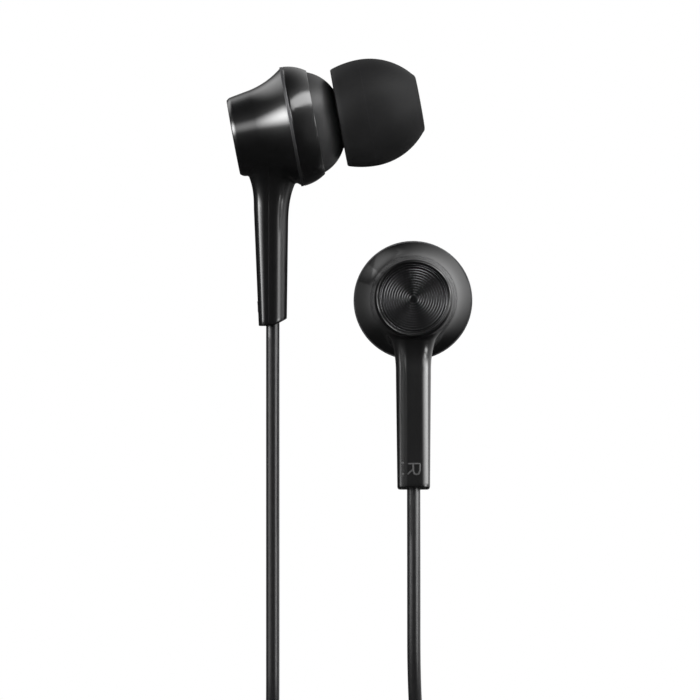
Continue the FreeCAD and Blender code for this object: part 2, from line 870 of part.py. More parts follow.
# Splitter that joins the two branches to the main cord
def flat_oval(y, half_width, half_height):
    """Rounded slot outline across the cord, at one place along it."""
    straight = half_width - half_height
    corners = []
    for side in (1, -1):
        for i in range(splitter_round_chords + 1):
            angle = side * (math.pi / 2 - math.pi * i / splitter_round_chords)
            x = side * (straight + half_height * math.cos(angle))
            z = splitter_z + half_height * math.sin(angle)
            corners.append(Vector(hank_middle_x + x, y, z))
    return Part.makePolygon(corners + corners[:1])


main_radius = main_diameter / 2
splitter_taper_y = splitter_exit + splitter_length * splitter_taper_share
splitter_ends = [
    (splitter_exit, main_radius + splitter_tail_wall, main_radius + splitter_tail_skin),
    (splitter_taper_y, splitter_width / 2, splitter_thickness / 2),
    (splitter_entry, splitter_width / 2, splitter_thickness / 2),
]
y_splitter = Part.makeLoft([flat_oval(*section) for section in splitter_ends], True, True)
export("y_splitter", y_splitter)


# Straight three-pole plug, lying on the tie with its shaft towards the viewer
def on_plug(shape):
    """Move a shape made on the ear axis to the plug's axis, with its tail on the cord's end."""
    moved = shape.copy()
    moved.Placement = Placement(
        Vector(hank_middle_x, plug_tail, plug_z), Rotation(Vector(0, 0, 1), -90)
    )
    return moved


body_start = plug_relief_length
body_end = body_start + plug_body_length
shaft_end = body_end + plug_shaft_length
tip_start = shaft_end - plug_tip_length
ring_start = tip_start - plug_insulator_length - plug_ring_length
ring_end = ring_start + plug_ring_length
sleeve_end = ring_start - plug_insulator_length
tip_waist = tip_start + plug_tip_length * tip_waist_share
insulator_radius = plug_shaft_radius - plug_insulator_setback
contact_radius = plug_shaft_radius * math.cos(math.pi / plug_facets)
plug_grip = turned(
    [
        (0, 0),
        (0, main_radius + plug_relief_back_wall),
        (body_start, plug_body_radius - plug_relief_front_step),
        (body_start + plug_body_back_bevel, plug_body_radius),
        (body_end - plug_body_front_bevel, plug_body_radius),
        (body_end, plug_body_radius - plug_body_front_bevel),
        (body_end, 0),
    ],
    plug_facets,
)
plug_tip = turned(
    [
        (tip_start, 0),
        (tip_start, contact_radius),
        (tip_start + tip_band_length, contact_radius),
        (tip_waist, tip_waist_radius),
        (tip_waist + tip_bulb_length, tip_bulb_radius),
        (shaft_end - tip_nose_length, tip_nose_radius),
        (shaft_end, 0),
    ],
    plug_facets,
)
plug_sleeve = Part.makeCylinder(
    plug_shaft_radius, sleeve_end - body_end, Vector(body_end, 0, 0), ear_axis
)
plug_pieces = {
    "plug_grip": plug_grip,
    "plug_sleeve": plug_sleeve,
    "plug_rear_insulator": drum(sleeve_end, ring_start, insulator_radius, plug_facets),
    "plug_ring": drum(ring_start, ring_end, contact_radius, plug_facets),
    "plug_front_insulator": drum(ring_end, tip_start, insulator_radius, plug_facets),
    "plug_tip": plug_tip,
}
for name, shape in plug_pieces.items():
    export(name, on_plug(shape))

# Flat tie round the whole hank, under the plug
widest_cord = max(
    main_inner_lane + main_half_turns * main_lane_step + main_radius,
    left_outer_lane + branch_diameter / 2,
    right_outer_lane + branch_diameter / 2,
)
tie_half = widest_cord + layer_gap
tie_height = tie_top - tie_thickness - tie_inside_low


def tie_block(grow):
    """Block with bevelled corners, as wide as the tie and grown by `grow` on its four long sides."""
    block = Part.makeBox(
        2 * (tie_half + grow),
        tie_width,
        tie_height + 2 * grow,
        Vector(hank_middle_x - tie_half - grow, tie_near_y, tie_inside_low - grow),
    )
    corners = [edge for edge in block.Edges if abs(edge.tangentAt(0).y) > 0.99]
    return block.makeChamfer(tie_corner + grow * (2 - math.sqrt(2)), corners)


export("cord_tie", tie_block(tie_thickness).cut(tie_block(0)))

print("left ear tip slides along", lean.multVec(ear_axis))
print("right ear tip slides along", right_ear_axis)
print("right grip", right_place.multVec(grip))
print("plug tail", hank_middle_x, plug_tail, plug_z)
print("plug shaft from", body_end, "to", shaft_end, "sleeve ends", sleeve_end)
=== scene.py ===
import math
from functools import partialmethod

import bmesh
import bpy
import numpy as np
from mathutils import Matrix, Vector


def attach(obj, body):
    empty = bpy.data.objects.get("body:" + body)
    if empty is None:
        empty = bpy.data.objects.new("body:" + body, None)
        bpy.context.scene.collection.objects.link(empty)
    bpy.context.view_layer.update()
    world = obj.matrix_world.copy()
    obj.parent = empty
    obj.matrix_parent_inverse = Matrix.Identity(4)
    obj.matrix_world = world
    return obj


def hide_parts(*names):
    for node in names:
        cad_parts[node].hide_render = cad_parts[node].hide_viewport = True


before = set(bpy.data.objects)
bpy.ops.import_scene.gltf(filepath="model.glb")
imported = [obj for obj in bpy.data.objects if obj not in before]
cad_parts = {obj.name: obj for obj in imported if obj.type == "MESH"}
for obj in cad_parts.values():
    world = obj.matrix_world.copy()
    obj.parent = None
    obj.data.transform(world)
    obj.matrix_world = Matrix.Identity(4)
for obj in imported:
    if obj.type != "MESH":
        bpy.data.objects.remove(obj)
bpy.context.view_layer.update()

# Studio: the earphones hang in the air the way two ears hold them, before white paper.
# A pale floor lies where the spare cord rests, and tall soft lamps stand left, right and above.
# The camera stands level with the middle of the two earbuds and looks along +Y.
mm = 0.001
floor_height = -84.0 * mm
view_middle = Vector((-1.96, 0, -26.58)) * mm
view_width = 78.4 * mm
camera_distance = 600 * mm
background_strength = 1.0
ambient_strength = 0.15


class Signal:
    """An output of a shader node. Arithmetic on it adds the Math nodes that work it out."""

    def __init__(self, tree, socket=None):
        self.tree = tree
        self.socket = socket

    def node(self, kind, settings=None, values=None, output=0):
        """New node of a kind: its settings first, then the values or links of its sockets."""
        made = self.tree.nodes.new(kind)
        for name, value in (settings or {}).items():
            setattr(made, name, value)
        for key, value in (values or {}).items():
            if isinstance(value, Signal):
                self.tree.links.new(value.socket, made.inputs[key])
            else:
                made.inputs[key].default_value = value
        return Signal(self.tree, made.outputs[output])

    def other(self, name):
        """Another output of the same node."""
        return Signal(self.tree, self.socket.node.outputs[name])

    def math(self, operation, *others):
        """Math node with this signal first."""
        values = dict(enumerate([self, *others]))
        return self.node("ShaderNodeMath", {"operation": operation}, values)

    __add__ = __radd__ = partialmethod(math, "ADD")
    __sub__ = partialmethod(math, "SUBTRACT")
    __mul__ = __rmul__ = partialmethod(math, "MULTIPLY")
    __truediv__ = partialmethod(math, "DIVIDE")

    def __rsub__(self, other):
        return self.node("ShaderNodeMath", {"operation": "SUBTRACT"}, {0: other, 1: self})

    def vector_math(self, operation, values, output=0):
        """Vector Math node."""
        return self.node("ShaderNodeVectorMath", {"operation": operation}, values, output)

    def parts(self, vector):
        """A vector's X; its Y and Z are other outputs of the same node."""
        return self.node("ShaderNodeSeparateXYZ", {}, {0: vector})

    def between(self, low, high):
        """0 below `low` and 1 above `high`, with a smooth step between."""
        settings = {"interpolation_type": "SMOOTHSTEP"}
        return self.node("ShaderNodeMapRange", settings, {0: self, 1: low, 2: high})

    def colour(self, at_zero, at_one):
        """Colour that goes from one to the other as this signal goes from 0 to 1."""
        values = {0: self, 6: (*at_zero, 1), 7: (*at_one, 1)}
        return self.node("ShaderNodeMix", {"data_type": "RGBA"}, values, 2)


class Finish(Signal):
    """A material: plain values on its shader's own sockets, and signals where it varies."""

    def __init__(self, name, **plain):
        self.name = name
        self.material = bpy.data.materials.new(name)
        self.material.use_nodes = True
        super().__init__(self.material.node_tree)
        self.shader = self.tree.nodes["Principled BSDF"]
        for socket, value in plain.items():
            self.shader.inputs[socket.replace("_", " ")].default_value = value

    def place(self):
        """Object coordinates in millimetres."""
        metres = self.node("ShaderNodeTexCoord", output="Object")
        return self.vector_math("SCALE", {0: metres, "Scale": 1000.0})

    def own_place(self):
        """The piece's own coordinates in millimetres, along and across its axis."""
        return self.node("ShaderNodeAttribute", {"attribute_name": "own_place"}, output="Vector")

    def stretched(self, vector, factors):
        """A vector with each of its parts multiplied by its own factor."""
        return self.vector_math("MULTIPLY", {0: vector, 1: factors})

    def from_axis(self, vector):
        """Distance from the piece's own axis: the length of (0, y, z)."""
        return self.vector_math("LENGTH", {0: self.stretched(vector, (0, 1, 1))}, "Value")

    def lines(self, distance, per_mm):
        """Uneven tool lines from 0 to 1: noise along one distance only."""
        settings = {"noise_dimensions": "1D"}
        values = {"W": distance, "Scale": per_mm, "Detail": 2.0}
        return self.node("ShaderNodeTexNoise", settings, values)

    def noise(self, vector, per_mm, detail=2.0):
        """Soft noise from 0 to 1 with so many swells in a millimetre."""
        values = {"Vector": vector, "Scale": per_mm, "Detail": detail}
        return self.node("ShaderNodeTexNoise", {}, values)

    def give(self, **signals):
        """Link signals to the shader's sockets."""
        for socket, signal in signals.items():
            self.tree.links.new(signal.socket, self.shader.inputs[socket.replace("_", " ")])

    def surface(self, rough, blend, low, high, relief):
        """Roughness, a colour from low to high as the blend goes from 0 to 1, and relief in mm."""
        bump = {"Height": relief, "Distance": mm, "Strength": 1.0}
        normal = self.node("ShaderNodeBump", {}, bump)
        self.give(Roughness=rough, Base_Color=blend.colour(low, high), Normal=normal)


def added(name, data):
    """Object with its data, linked into the scene."""
    made = bpy.data.objects.new(name, data)
    scene.collection.objects.link(made)
    return made


scene = bpy.context.scene
scene.view_settings.view_transform = "Standard"
camera_data = bpy.data.cameras.new("camera")
camera_data.lens = camera_data.sensor_width * camera_distance / view_width
camera = added("camera", camera_data)
camera.location = view_middle - Vector((0, camera_distance, 0))
camera.rotation_euler = (math.radians(90), 0, 0)
scene.camera = camera

world = bpy.data.worlds.new("studio")
world.use_nodes = True
scene.world = world
backdrop = Signal(world.node_tree)
path = backdrop.node("ShaderNodeLightPath")
seen = path.math("MAXIMUM", path.other("Is Glossy Ray"))
seen = seen.math("MAXIMUM", path.other("Is Transmission Ray"))
light = seen * background_strength + (1 - seen) * ambient_strength
glow = world.node_tree.nodes["Background"]
glow.inputs["Color"].default_value = (1, 1, 1, 1)
world.node_tree.links.new(light.socket, glow.inputs["Strength"])

lamp_distance = 0.62


def toward(azimuth, elevation):
    """Unit vector from the earphones; azimuth 0 is at the camera, and 90 at its right."""
    turn, rise = math.radians(azimuth), math.radians(elevation)
    level = math.cos(rise)
    return Vector((math.sin(turn) * level, -math.cos(turn) * level, math.sin(rise)))


def softbox(name, azimuth, elevation, wide, high, radiance, soft, peak=0.5, roll=0):
    """Lamp that faces the earphones, with its width, height and roll in degrees.

    Its radiance rises in a smooth step from each border, over a share `soft` of the way in.
    The peak's place is a share of its width.
    """
    data = bpy.data.lights.new(name, "AREA")
    data.shape = "RECTANGLE"
    data.size = 2 * lamp_distance * math.tan(math.radians(wide / 2))
    data.size_y = 2 * lamp_distance * math.tan(math.radians(high / 2))
    data.energy = radiance * math.pi * data.size * data.size_y
    data.use_nodes = True
    glow = Signal(data.node_tree)
    spot = glow.node("ShaderNodeNewGeometry", output="Parametric")
    u = glow.parts(spot)
    v = u.other("Y")
    fall = (u / peak).math("MINIMUM", (1 - u) / (1 - peak)).between(0.0, soft)
    fall = fall * (1 - (2 * v - 1).math("ABSOLUTE")).between(0.0, soft)
    data.node_tree.links.new(fall.socket, data.node_tree.nodes["Emission"].inputs["Strength"])
    lamp = added(name, data)
    way = toward(azimuth, elevation)
    lamp.location = view_middle + way * lamp_distance
    turned = way.to_track_quat("Z", "Y").to_matrix() @ Matrix.Rotation(math.radians(roll), 3, "Z")
    lamp.rotation_euler = turned.to_euler()
    lamp.visible_camera = False


# Azimuth, elevation, width, height, radiance, soft share, peak and roll
softbox("left_lamp", -50, 14, 72, 36, 14.0, 1.0, 0.18, 12)
softbox("high_right_lamp", 52, 51, 92, 30, 6.0, 0.6)
softbox("right_front_lamp", 64, 14, 76, 24, 9.0, 1.0, 0.70)
softbox("seam_lamp", 56, 3.6, 36, 9, 6.0, 0.9)
softbox("cord_lamp", 60, -5, 40, 12, 7.0, 0.9)
softbox("rim_lamp", -128, 40, 70, 50, 1.5, 0.9)

# Black velvet round the set, which only reflections see, the way gloss pieces are flagged.
# Behind at the right it thins out, and the pieces reflect the white paper through that opening.
velvet_radius = 1.0
opening_azimuth, opening_elevation = 124, 21
opening_wide, opening_high = 72, 60
velvet_glow = 0.02
velvet_step = 6


def sheet(name, points, faces, finish):
    """Object with a mesh of some points, in metres, and their faces."""
    mesh = bpy.data.meshes.new(name)
    mesh.from_pydata(np.asarray(points).tolist(), [], np.asarray(faces).tolist())
    mesh.materials.append(finish.material)
    return added(name, mesh)


def stage_card(name, points, faces, glow=velvet_glow):
    """Stage piece that only reflections see: its finish, and the socket of its cover."""
    cloth = Finish(name)
    card = sheet(name, points, faces, cloth)
    for ray in ("camera", "diffuse", "transmission", "volume_scatter", "shadow"):
        setattr(card, "visible_" + ray, False)
    cloth.tree.nodes.remove(cloth.shader)
    dark = cloth.node("ShaderNodeEmission", {}, {"Color": (1, 1, 1, 1), "Strength": glow})
    clear = cloth.node("ShaderNodeBsdfTransparent")
    mix = cloth.node("ShaderNodeMixShader", {}, {1: clear, 2: dark})
    cloth.tree.links.new(mix.socket, cloth.tree.nodes["Material Output"].inputs[0])
    return cloth, mix.socket.node.inputs[0]


def grid_quads(rows, columns, first=0):
    """Quads between neighbours of a grid of points, whose columns close in a round."""
    i = np.arange(rows - 1)[:, None] * columns + first
    j = np.arange(columns)
    on = (j + 1) % columns
    return np.stack([i + j, i + on, i + columns + on, i + columns + j], -1).reshape(-1, 4)


def velvet_sphere():
    """Sphere about the earphones in steps of azimuth and elevation."""
    turns, rises = np.arange(0, 360, velvet_step), np.arange(-90, 91, velvet_step)
    azimuth, rise = np.meshgrid(np.radians(turns), np.radians(rises))
    level = np.cos(rise)
    way = np.stack([np.sin(azimuth) * level, -np.cos(azimuth) * level, np.sin(rise)], -1)
    return way.reshape(-1, 3) * velvet_radius + np.array(view_middle), grid_quads(*azimuth.shape)


velvet, velvet_cover = stage_card("velvet", *velvet_sphere())
velvet_place = velvet.node("ShaderNodeTexCoord", output="Object")
spread = Vector((1 / opening_wide, 1 / opening_wide, 1 / opening_high)) * math.degrees(1)
opening = view_middle + toward(opening_azimuth, opening_elevation) * velvet_radius
offset = velvet.vector_math("SUBTRACT", {0: velvet_place, 1: opening})
distance = velvet.vector_math("LENGTH", {0: velvet.stretched(offset, spread)}, "Value")
velvet.tree.links.new(distance.between(0.1, 1.0).socket, velvet_cover)

# Small flags and nets, which only reflections see: they keep the right lamps off the left front
# band, the left stem's root and the right disc, darken the left stem's far edge and the right
# flare, and narrow what the right stem and the cords see of the left lamp.
for name, cover, *corners in (
    ("band_flag", 1.0, (-6, -15, -8), (1, -10.7, -8), (1, -10.7, 6.2), (-6, -15, 6.2)),
    ("band_flag_end", 1.0, (1, -10.7, -8), (6, -9.3, -8), (6, -9.3, 6.2), (1, -10.7, 6.2)),
    ("root_flag", 0.9, (5, -14, -13.2), (5, -7.5, -13.2), (5, -7.5, -8.3), (5, -14, -8.3)),
    ("disc_flag", 0.85, (2, -16, -13.4), (17, -16, -13.4), (17, -2.2, -13.4), (2, -2.2, -13.4)),
    ("left_stem_flag", 0.97, (-6.4, 1, -23.5), (-6.4, 9, -23.5), (-6.4, 9, -9.5), (-6.4, 1, -9.5)),
    ("flare_net", 0.75, (-3, 1, -18), (-3, 13, -18), (-3, 13, -2), (-3, 1, -2)),
    ("flare_net_top", 0.6, (-3.2, 6.1, -14), (-3.2, 30, -14), (-3.2, 30, 10), (-3.2, 6.1, -2)),
    ("left_cord_net", 0.6,
     (-12.5, -4.5, -84), (-12.5, 2, -84), (-12.5, 2, -25), (-12.5, -4.5, -25)),
    ("right_cord_net", 0.7,
     (3.2, -1.5, -84), (3.2, 3.5, -84), (3.2, 3.5, -43.5), (3.2, -1.5, -43.5)),
    ("right_stem_flag", 1.0,
     (1.8, -5.7, -47), (1.8, 0.8, -47), (1.8, 5.1, -26.5), (1.8, -1.4, -26.5)),
    ("right_stem_net", 0.62, (1.8, 0.8, -47), (1.8, 3, -47), (1.8, 7.3, -26.5), (1.8, 5.1, -26.5)),
):
    _, flag_cover = stage_card(name, np.array(corners) * mm, [(0, 1, 2, 3)])
    flag_cover.default_value = cover

# A grey card behind the left stem, which only reflections see, lightens the right flare's
# left side. It thins out at its top and bottom.
grey_card_glow = 0.17
grey_x, grey_near, grey_far = -5.9, 9, 24
grey_low, grey_high = -31.0, -14.5
grey_full_from, grey_full_to = -20.5, -17.5
grey_corners = np.array([
    (grey_x, grey_near, grey_low), (grey_x, grey_far, grey_low),
    (grey_x, grey_far, grey_high), (grey_x, grey_near, grey_high),
])
grey_card, grey_cover = stage_card("grey_card", grey_corners * mm, [(0, 1, 2, 3)], grey_card_glow)
grey_height = grey_card.parts(grey_card.place()).other("Z")
grey_fall = grey_height.between(grey_low, grey_full_from)
grey_fall = grey_fall * grey_height.between(grey_high, grey_full_to)
grey_card.tree.links.new(grey_fall.socket, grey_cover)

# The floor is a sheet of pale paper, level under the hank.
floor_half_x, floor_half_y = 0.3, 0.25
floor_signs = ((-1, -1), (1, -1), (1, 1), (-1, 1))
floor_points = [(i * floor_half_x, j * floor_half_y, floor_height) for i, j in floor_signs]
paper = Finish("floor_paper", Base_Color=(0.86, 0.86, 0.86, 1), Roughness=0.9)
floor = sheet("floor", floor_points, [(0, 1, 2, 3)], paper)
floor.visible_glossy = False
fibres = paper.noise(paper.place(), 0.9, 3.0)
paper_bump = {"Height": fibres, "Distance": 0.05 * mm, "Strength": 0.4}
paper.give(Normal=paper.node("ShaderNodeBump", {}, paper_bump))

# Rear housing: a horn of gloss black plastic that flares from the back disc out to the belt.
# It is moulded in one piece with the outward half of the stem, which grows from under it
# in a soft fillet. Its back is recessed for the disc, and its front holds the loudspeaker.
stem_lean = math.radians(10.5)
right_nod = math.radians(1.3)
stem_station = 4.16
grip_station = 15.10
back_station, back_radius = 0.28, 4.40
flare_start, flare_end = math.radians(12), math.radians(38)
flare_cone_end = 2.60
belt_station = 6.30
recess_floor, recess_radius = 0.9, 4.02
spigot_end, spigot_radius, spigot_bore = 7.2, 5.17, 4.53
shelf_station = 5.2
hollow_back, hollow_radius = 1.6, 4.15
horn_around = 224
weld_distance = 0.0002 * mm

lean_turn = Matrix.Rotation(-stem_lean, 3, "Y")
right_turn = Matrix.Rotation(math.pi / 2, 3, "Z")
right_turn = Matrix.Rotation(-(stem_lean + right_nod), 3, "X") @ right_turn
left_origin = lean_turn @ Vector((stem_station - grip_station, 0, 0))
right_origin = Vector((5.22, 8.658929, -20.864379))
bud_frames = {}
for side, turn, origin in (
    ("left", Matrix.Identity(3), left_origin),
    ("right", right_turn, right_origin),
):
    whole = turn @ lean_turn
    bud_frames[side] = (np.array(whole), np.array(origin - whole @ Vector((stem_station, 0, 0))))


def softened(corners, reach, steps=7):
    """Closed outline with rounded corners: (1-t)^2 a + 2t(1-t) c + t^2 b.

    a and b lie `reach` before and after the corner c, but no further than halfway.
    """
    corners = np.asarray(corners, float)
    before = np.roll(corners, 1, -2) - corners
    after = np.roll(corners, -1, -2) - corners
    reach = np.broadcast_to(reach, corners.shape[:-1])[..., None]
    least = 1e-9
    before_length = np.linalg.norm(before, axis=-1, keepdims=True) + least
    after_length = np.linalg.norm(after, axis=-1, keepdims=True) + least
    a = corners + before * np.minimum(reach / before_length, 0.5)
    b = corners + after * np.minimum(reach / after_length, 0.5)
    t = np.linspace(0, 1, steps)[:, None]
    a, b, c = a[..., None, :], b[..., None, :], corners[..., None, :]
    bends = (1 - t) ** 2 * a + 2 * t * (1 - t) * c + t**2 * b
    return bends.reshape(*corners.shape[:-2], -1, 2)


def softened_run(corners, reach, steps):
    """Open outline with rounded corners, without its first and last corner."""
    return softened(corners, reach, steps)[steps:-steps]


def turned(profile, around=horn_around):
    """Profile turned about the axis: (s, r) goes to x = s, y = r sin(a), z = r cos(a)."""
    s, r = np.asarray(profile, float).T[:, :, None]
    a = np.linspace(0, 2 * np.pi, around, endpoint=False)
    return np.stack(np.broadcast_arrays(s, r * np.sin(a), r * np.cos(a)), -1)


def make_piece(name, grids, place, finish, body="earphones", sharp=38):
    """Piece made of grids of points in its own frame, in millimetres: p goes to (R p + T) mm.

    Its edges are sharp from so many degrees, and its one slot holds its finish.
    """
    own = np.concatenate([grid.reshape(-1, 3) for grid in grids])
    firsts = np.cumsum([0] + [grid.shape[0] * grid.shape[1] for grid in grids])
    quads = [grid_quads(*grid.shape[:2], first) for grid, first in zip(grids, firsts)]
    quads = np.concatenate(quads).tolist()
    turn, origin = place
    mesh = bpy.data.meshes.new(name)
    mesh.from_pydata(((own @ turn.T + origin) * mm).tolist(), [], quads)
    own_place = mesh.attributes.new("own_place", "FLOAT_VECTOR", "POINT")
    own_place.data.foreach_set("vector", own.ravel())
    work = bmesh.new()
    work.from_mesh(mesh)
    bmesh.ops.remove_doubles(work, verts=work.verts, dist=weld_distance)
    bmesh.ops.recalc_face_normals(work, faces=work.faces)
    work.to_mesh(mesh)
    work.free()
    mesh.materials.append(finish.material)
    mesh.shade_smooth()
    mesh.set_sharp_from_angle(angle=math.radians(sharp))
    piece = added(name, mesh)
    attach(piece, body)
    return piece


flare_reach = (belt_station - flare_cone_end) / (math.sin(flare_end) - math.sin(flare_start))
cone_end_radius = back_radius + (flare_cone_end - back_station) * math.tan(flare_start)
flare_turn = np.linspace(flare_start, flare_end, 28)
flare_skin = np.column_stack([
    flare_cone_end + flare_reach * (np.sin(flare_turn) - math.sin(flare_start)),
    cone_end_radius + flare_reach * (math.cos(flare_start) - np.cos(flare_turn)),
])
rim_radius = flare_skin[-1, 1]
back_corners = [
    (recess_floor, recess_radius), (-0.06, recess_radius), (-0.18, 4.13), (-0.18, 4.20),
    (0.16, 4.46), (1.2, 4.62),
]
back_edge = softened_run(back_corners, [0, 0.03, 0.04, 0.14, 0.18, 0], 8)
horn_profile = np.concatenate([
    [(recess_floor, 0)],
    back_edge,
    flare_skin,
    [(belt_station, spigot_radius), (spigot_end, spigot_radius)],
    [(spigot_end, spigot_bore), (shelf_station, spigot_bore), (shelf_station, hollow_radius)],
    [(hollow_back, hollow_radius), (hollow_back, 0)],
])
horn = turned(horn_profile)

# The stem's lines: place at the straight top, change down to the bottom, and spread at the root
outer_line = (-1.97, 0.55, -0.98)
ear_line = (1.90, -0.18, 1.70)
half_line = (1.98, -0.14, 0.78)
spread_power = 2.6
stem_length = 21.90
stem_straight_top = 8.70
stem_root = 4.30
straight_tops = (stem_straight_top, 10.50, stem_straight_top)
stem_parting = -0.30
outer_shares = (0.74, 0.70)  # a flat face between two wide rounds
ear_shares = (0.80, 1.0)  # nearly a half ellipse
seam_width = 0.06
fillet_least, fillet_more = 0.30, 0.25
stem_edge_round = 0.11
stem_corner_round = 0.22
slant_start = 0.26
slant_rise = 0.535
depth_step = 0.1
horn_depth_guess, horn_depth_rounds = 5.3, 14
fillet_depth_guess, fillet_depth_rounds = 5.4, 12
root_middle_depth = 4.6
root_lift = 0.02
outward_depth = 6.0
depth_table = np.arange(3.5, stem_length + 3 * depth_step, depth_step)


def stem_sizes(depth):
    """Outward face, ear face and half width at a depth below the ear axis.

    Each tapers in a line down to the bottom, and spreads as ((top - depth) / run)^2.6 at the root.
    """
    down = np.clip((depth - stem_straight_top) / (stem_length - stem_straight_top), 0, 1)
    sizes = []
    for line, top in zip((outer_line, ear_line, half_line), straight_tops):
        spread = np.clip((top - depth) / (top - stem_root), 0, None) ** spread_power
        sizes.append(line[0] + line[1] * down + line[2] * spread)
    return sizes


def stem_outline(depth, sign, shares):
    """Closed outline of one half: parting face, flank, and an elliptical quarter round to the face.

    The quarter round takes a share of the half's depth, and a share of its half width:
    x = x0 + sign a sin(t), y = y0 + b cos(t), where the flat between the rounds is 2 y0 wide.
    """
    outer, ear, half = stem_sizes(depth)
    face = outer if sign < 0 else ear
    a, b = shares[0] * np.abs(face - stem_parting), shares[1] * half
    t = np.linspace(0, np.pi / 2, 26)
    x = (face - sign * a)[:, None] + sign * a[:, None] * np.sin(t)
    y = (half - b)[:, None] + b[:, None] * np.cos(t)
    flank = np.linspace(0, 1, 5)[1:-1]
    start = np.full((len(depth), 1), stem_parting)
    flank_x = start + (x[:, :1] - start) * flank
    seam_x = start + sign * seam_width * np.array([0.0, 0.25, 1.0])
    seam_y = half[:, None] - seam_width * np.array([1.0, 0.25, 0.0])
    side_x = np.concatenate([seam_x, flank_x, x], 1)
    side_y = np.concatenate([seam_y, np.broadcast_to(half[:, None], flank_x.shape), y], 1)
    return np.stack([
        np.concatenate([side_x, side_x[:, ::-1]], 1),
        np.concatenate([side_y, -side_y[:, ::-1]], 1),
    ], -1)


def horn_depth(x, y):
    """Depth of the horn's underside at a place of the stem's frame, found in a few steps.

    With c, k the lean's cosine and sine: s = 4.16 + c x + k z, r = skin(s),
    and z = (k x - sqrt(r^2 - y^2)) / c.
    """
    c, k = math.cos(stem_lean), math.sin(stem_lean)
    skin_s = np.concatenate([[back_station], flare_skin[:, 0], [belt_station + 3]])
    skin_r = np.concatenate([[back_radius], flare_skin[:, 1], [rim_radius]])
    z = np.full(np.shape(x), -horn_depth_guess)
    for _ in range(horn_depth_rounds):
        r = np.interp(stem_station + c * x + k * z, skin_s, skin_r)
        z = (k * x - np.sqrt(np.maximum(r**2 - y**2, 0))) / c
    return -z


def stem_half(sign, shares):
    """Grid of one half of the stem, from its root under the horn to its rounded bottom edge.

    The fillet at turn q stands out by f (1 - cos q), and its depth is
    horn_depth + f (1 - sin q), so that it leaves the horn and meets the stem without a crease.
    """
    table = stem_outline(depth_table, sign, shares)
    columns = np.arange(table.shape[1])

    def at(depth):
        """Outline's points at each column's own depth, between the rows of the table."""
        step = np.clip((depth - depth_table[0]) / depth_step, 0, len(depth_table) - 1.001)
        row = step.astype(int)
        share = (step - row)[..., None]
        return table[row, columns] * (1 - share) + table[row + 1, columns] * share

    shape = at(np.full(len(columns), outward_depth))
    outward = shape / np.linalg.norm(shape, axis=1, keepdims=True)
    fillet = fillet_least + fillet_more * outward[:, 1] ** 2
    turn = np.linspace(np.pi / 2, 0, 12)[:, None]
    depth = np.full((len(turn), len(columns)), fillet_depth_guess)
    for _ in range(fillet_depth_rounds):
        points = at(depth) + outward * (fillet * (1 - np.cos(turn)))[..., None]
        depth = horn_depth(points[..., 0], points[..., 1]) + fillet * (1 - np.sin(turn))
    root = np.concatenate([points, -depth[..., None]], -1)
    root[0, :, 2] += root_lift
    bottom = at(np.full(len(columns), stem_length))
    low = stem_length - slant_rise * np.clip(bottom[:, 0] - slant_start, 0, None)
    edge_round = stem_edge_round + stem_corner_round * outward[:, 1] ** 6
    share = np.linspace(0, 1, 44)[1:, None]
    depth = depth[-1] + (low - edge_round - depth[-1]) * share
    straight = np.concatenate([at(depth), -depth[..., None]], -1)
    turn = np.linspace(0, np.pi / 2, 7)[1:, None]
    inset = (edge_round * (1 - np.cos(turn)))[..., None]
    depth = low - edge_round * (1 - np.sin(turn))
    edge = np.concatenate([bottom - outward * inset, -depth[..., None]], -1)
    top_middle = np.broadcast_to([0, 0, -root_middle_depth], (1, len(columns), 3))
    low_middle = np.broadcast_to([slant_start, 0, -stem_length], (1, len(columns), 3))
    grid = np.concatenate([top_middle, root, straight, edge, low_middle])
    return grid @ np.array(lean_turn) + (stem_station, 0, 0)


def in_both_buds(name, node, grids, finish, bodies=("earphones", "earphones"), sharp=38):
    """The same piece in the left and the right earbud, each in place of its own solid."""
    for (side, place), body in zip(bud_frames.items(), bodies):
        piece = make_piece(f"{side}_{name}", grids, place, finish, body, sharp)
        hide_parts(f"{side}_{node}")


# Gloss plastic: a clear sharp surface over a base that scatters a little, with faint flow waves.
housing = Finish("housing_plastic", IOR=1.38, Coat_Weight=1.0, Coat_IOR=1.6, Coat_Roughness=0.11)
housing_place = housing.place()
housing_swell = housing.noise(housing_place, 0.9)
housing_peel = housing.noise(housing_place, 4.5, 1.0)
housing_dust = housing.noise(housing_place, 26.0, 3.0).between(0.62, 0.80)
housing.surface(
    0.33 + housing_swell * 0.08,
    housing_dust, (0.0020, 0.0020, 0.0022), (0.0050, 0.0050, 0.0054),
    relief=housing_peel * 0.0010 + housing_swell * 0.002)
in_both_buds("housing", "rear_housing", [horn, stem_half(-1, outer_shares)], housing)

# Stem cover: the ear-side half of the stem, a thin half round of the same gloss plastic.
# It closes over the cord's crimp and meets the outward half in a fine seam down both flanks.
in_both_buds("cover", "stem_cover", [stem_half(1, ear_shares)], housing)

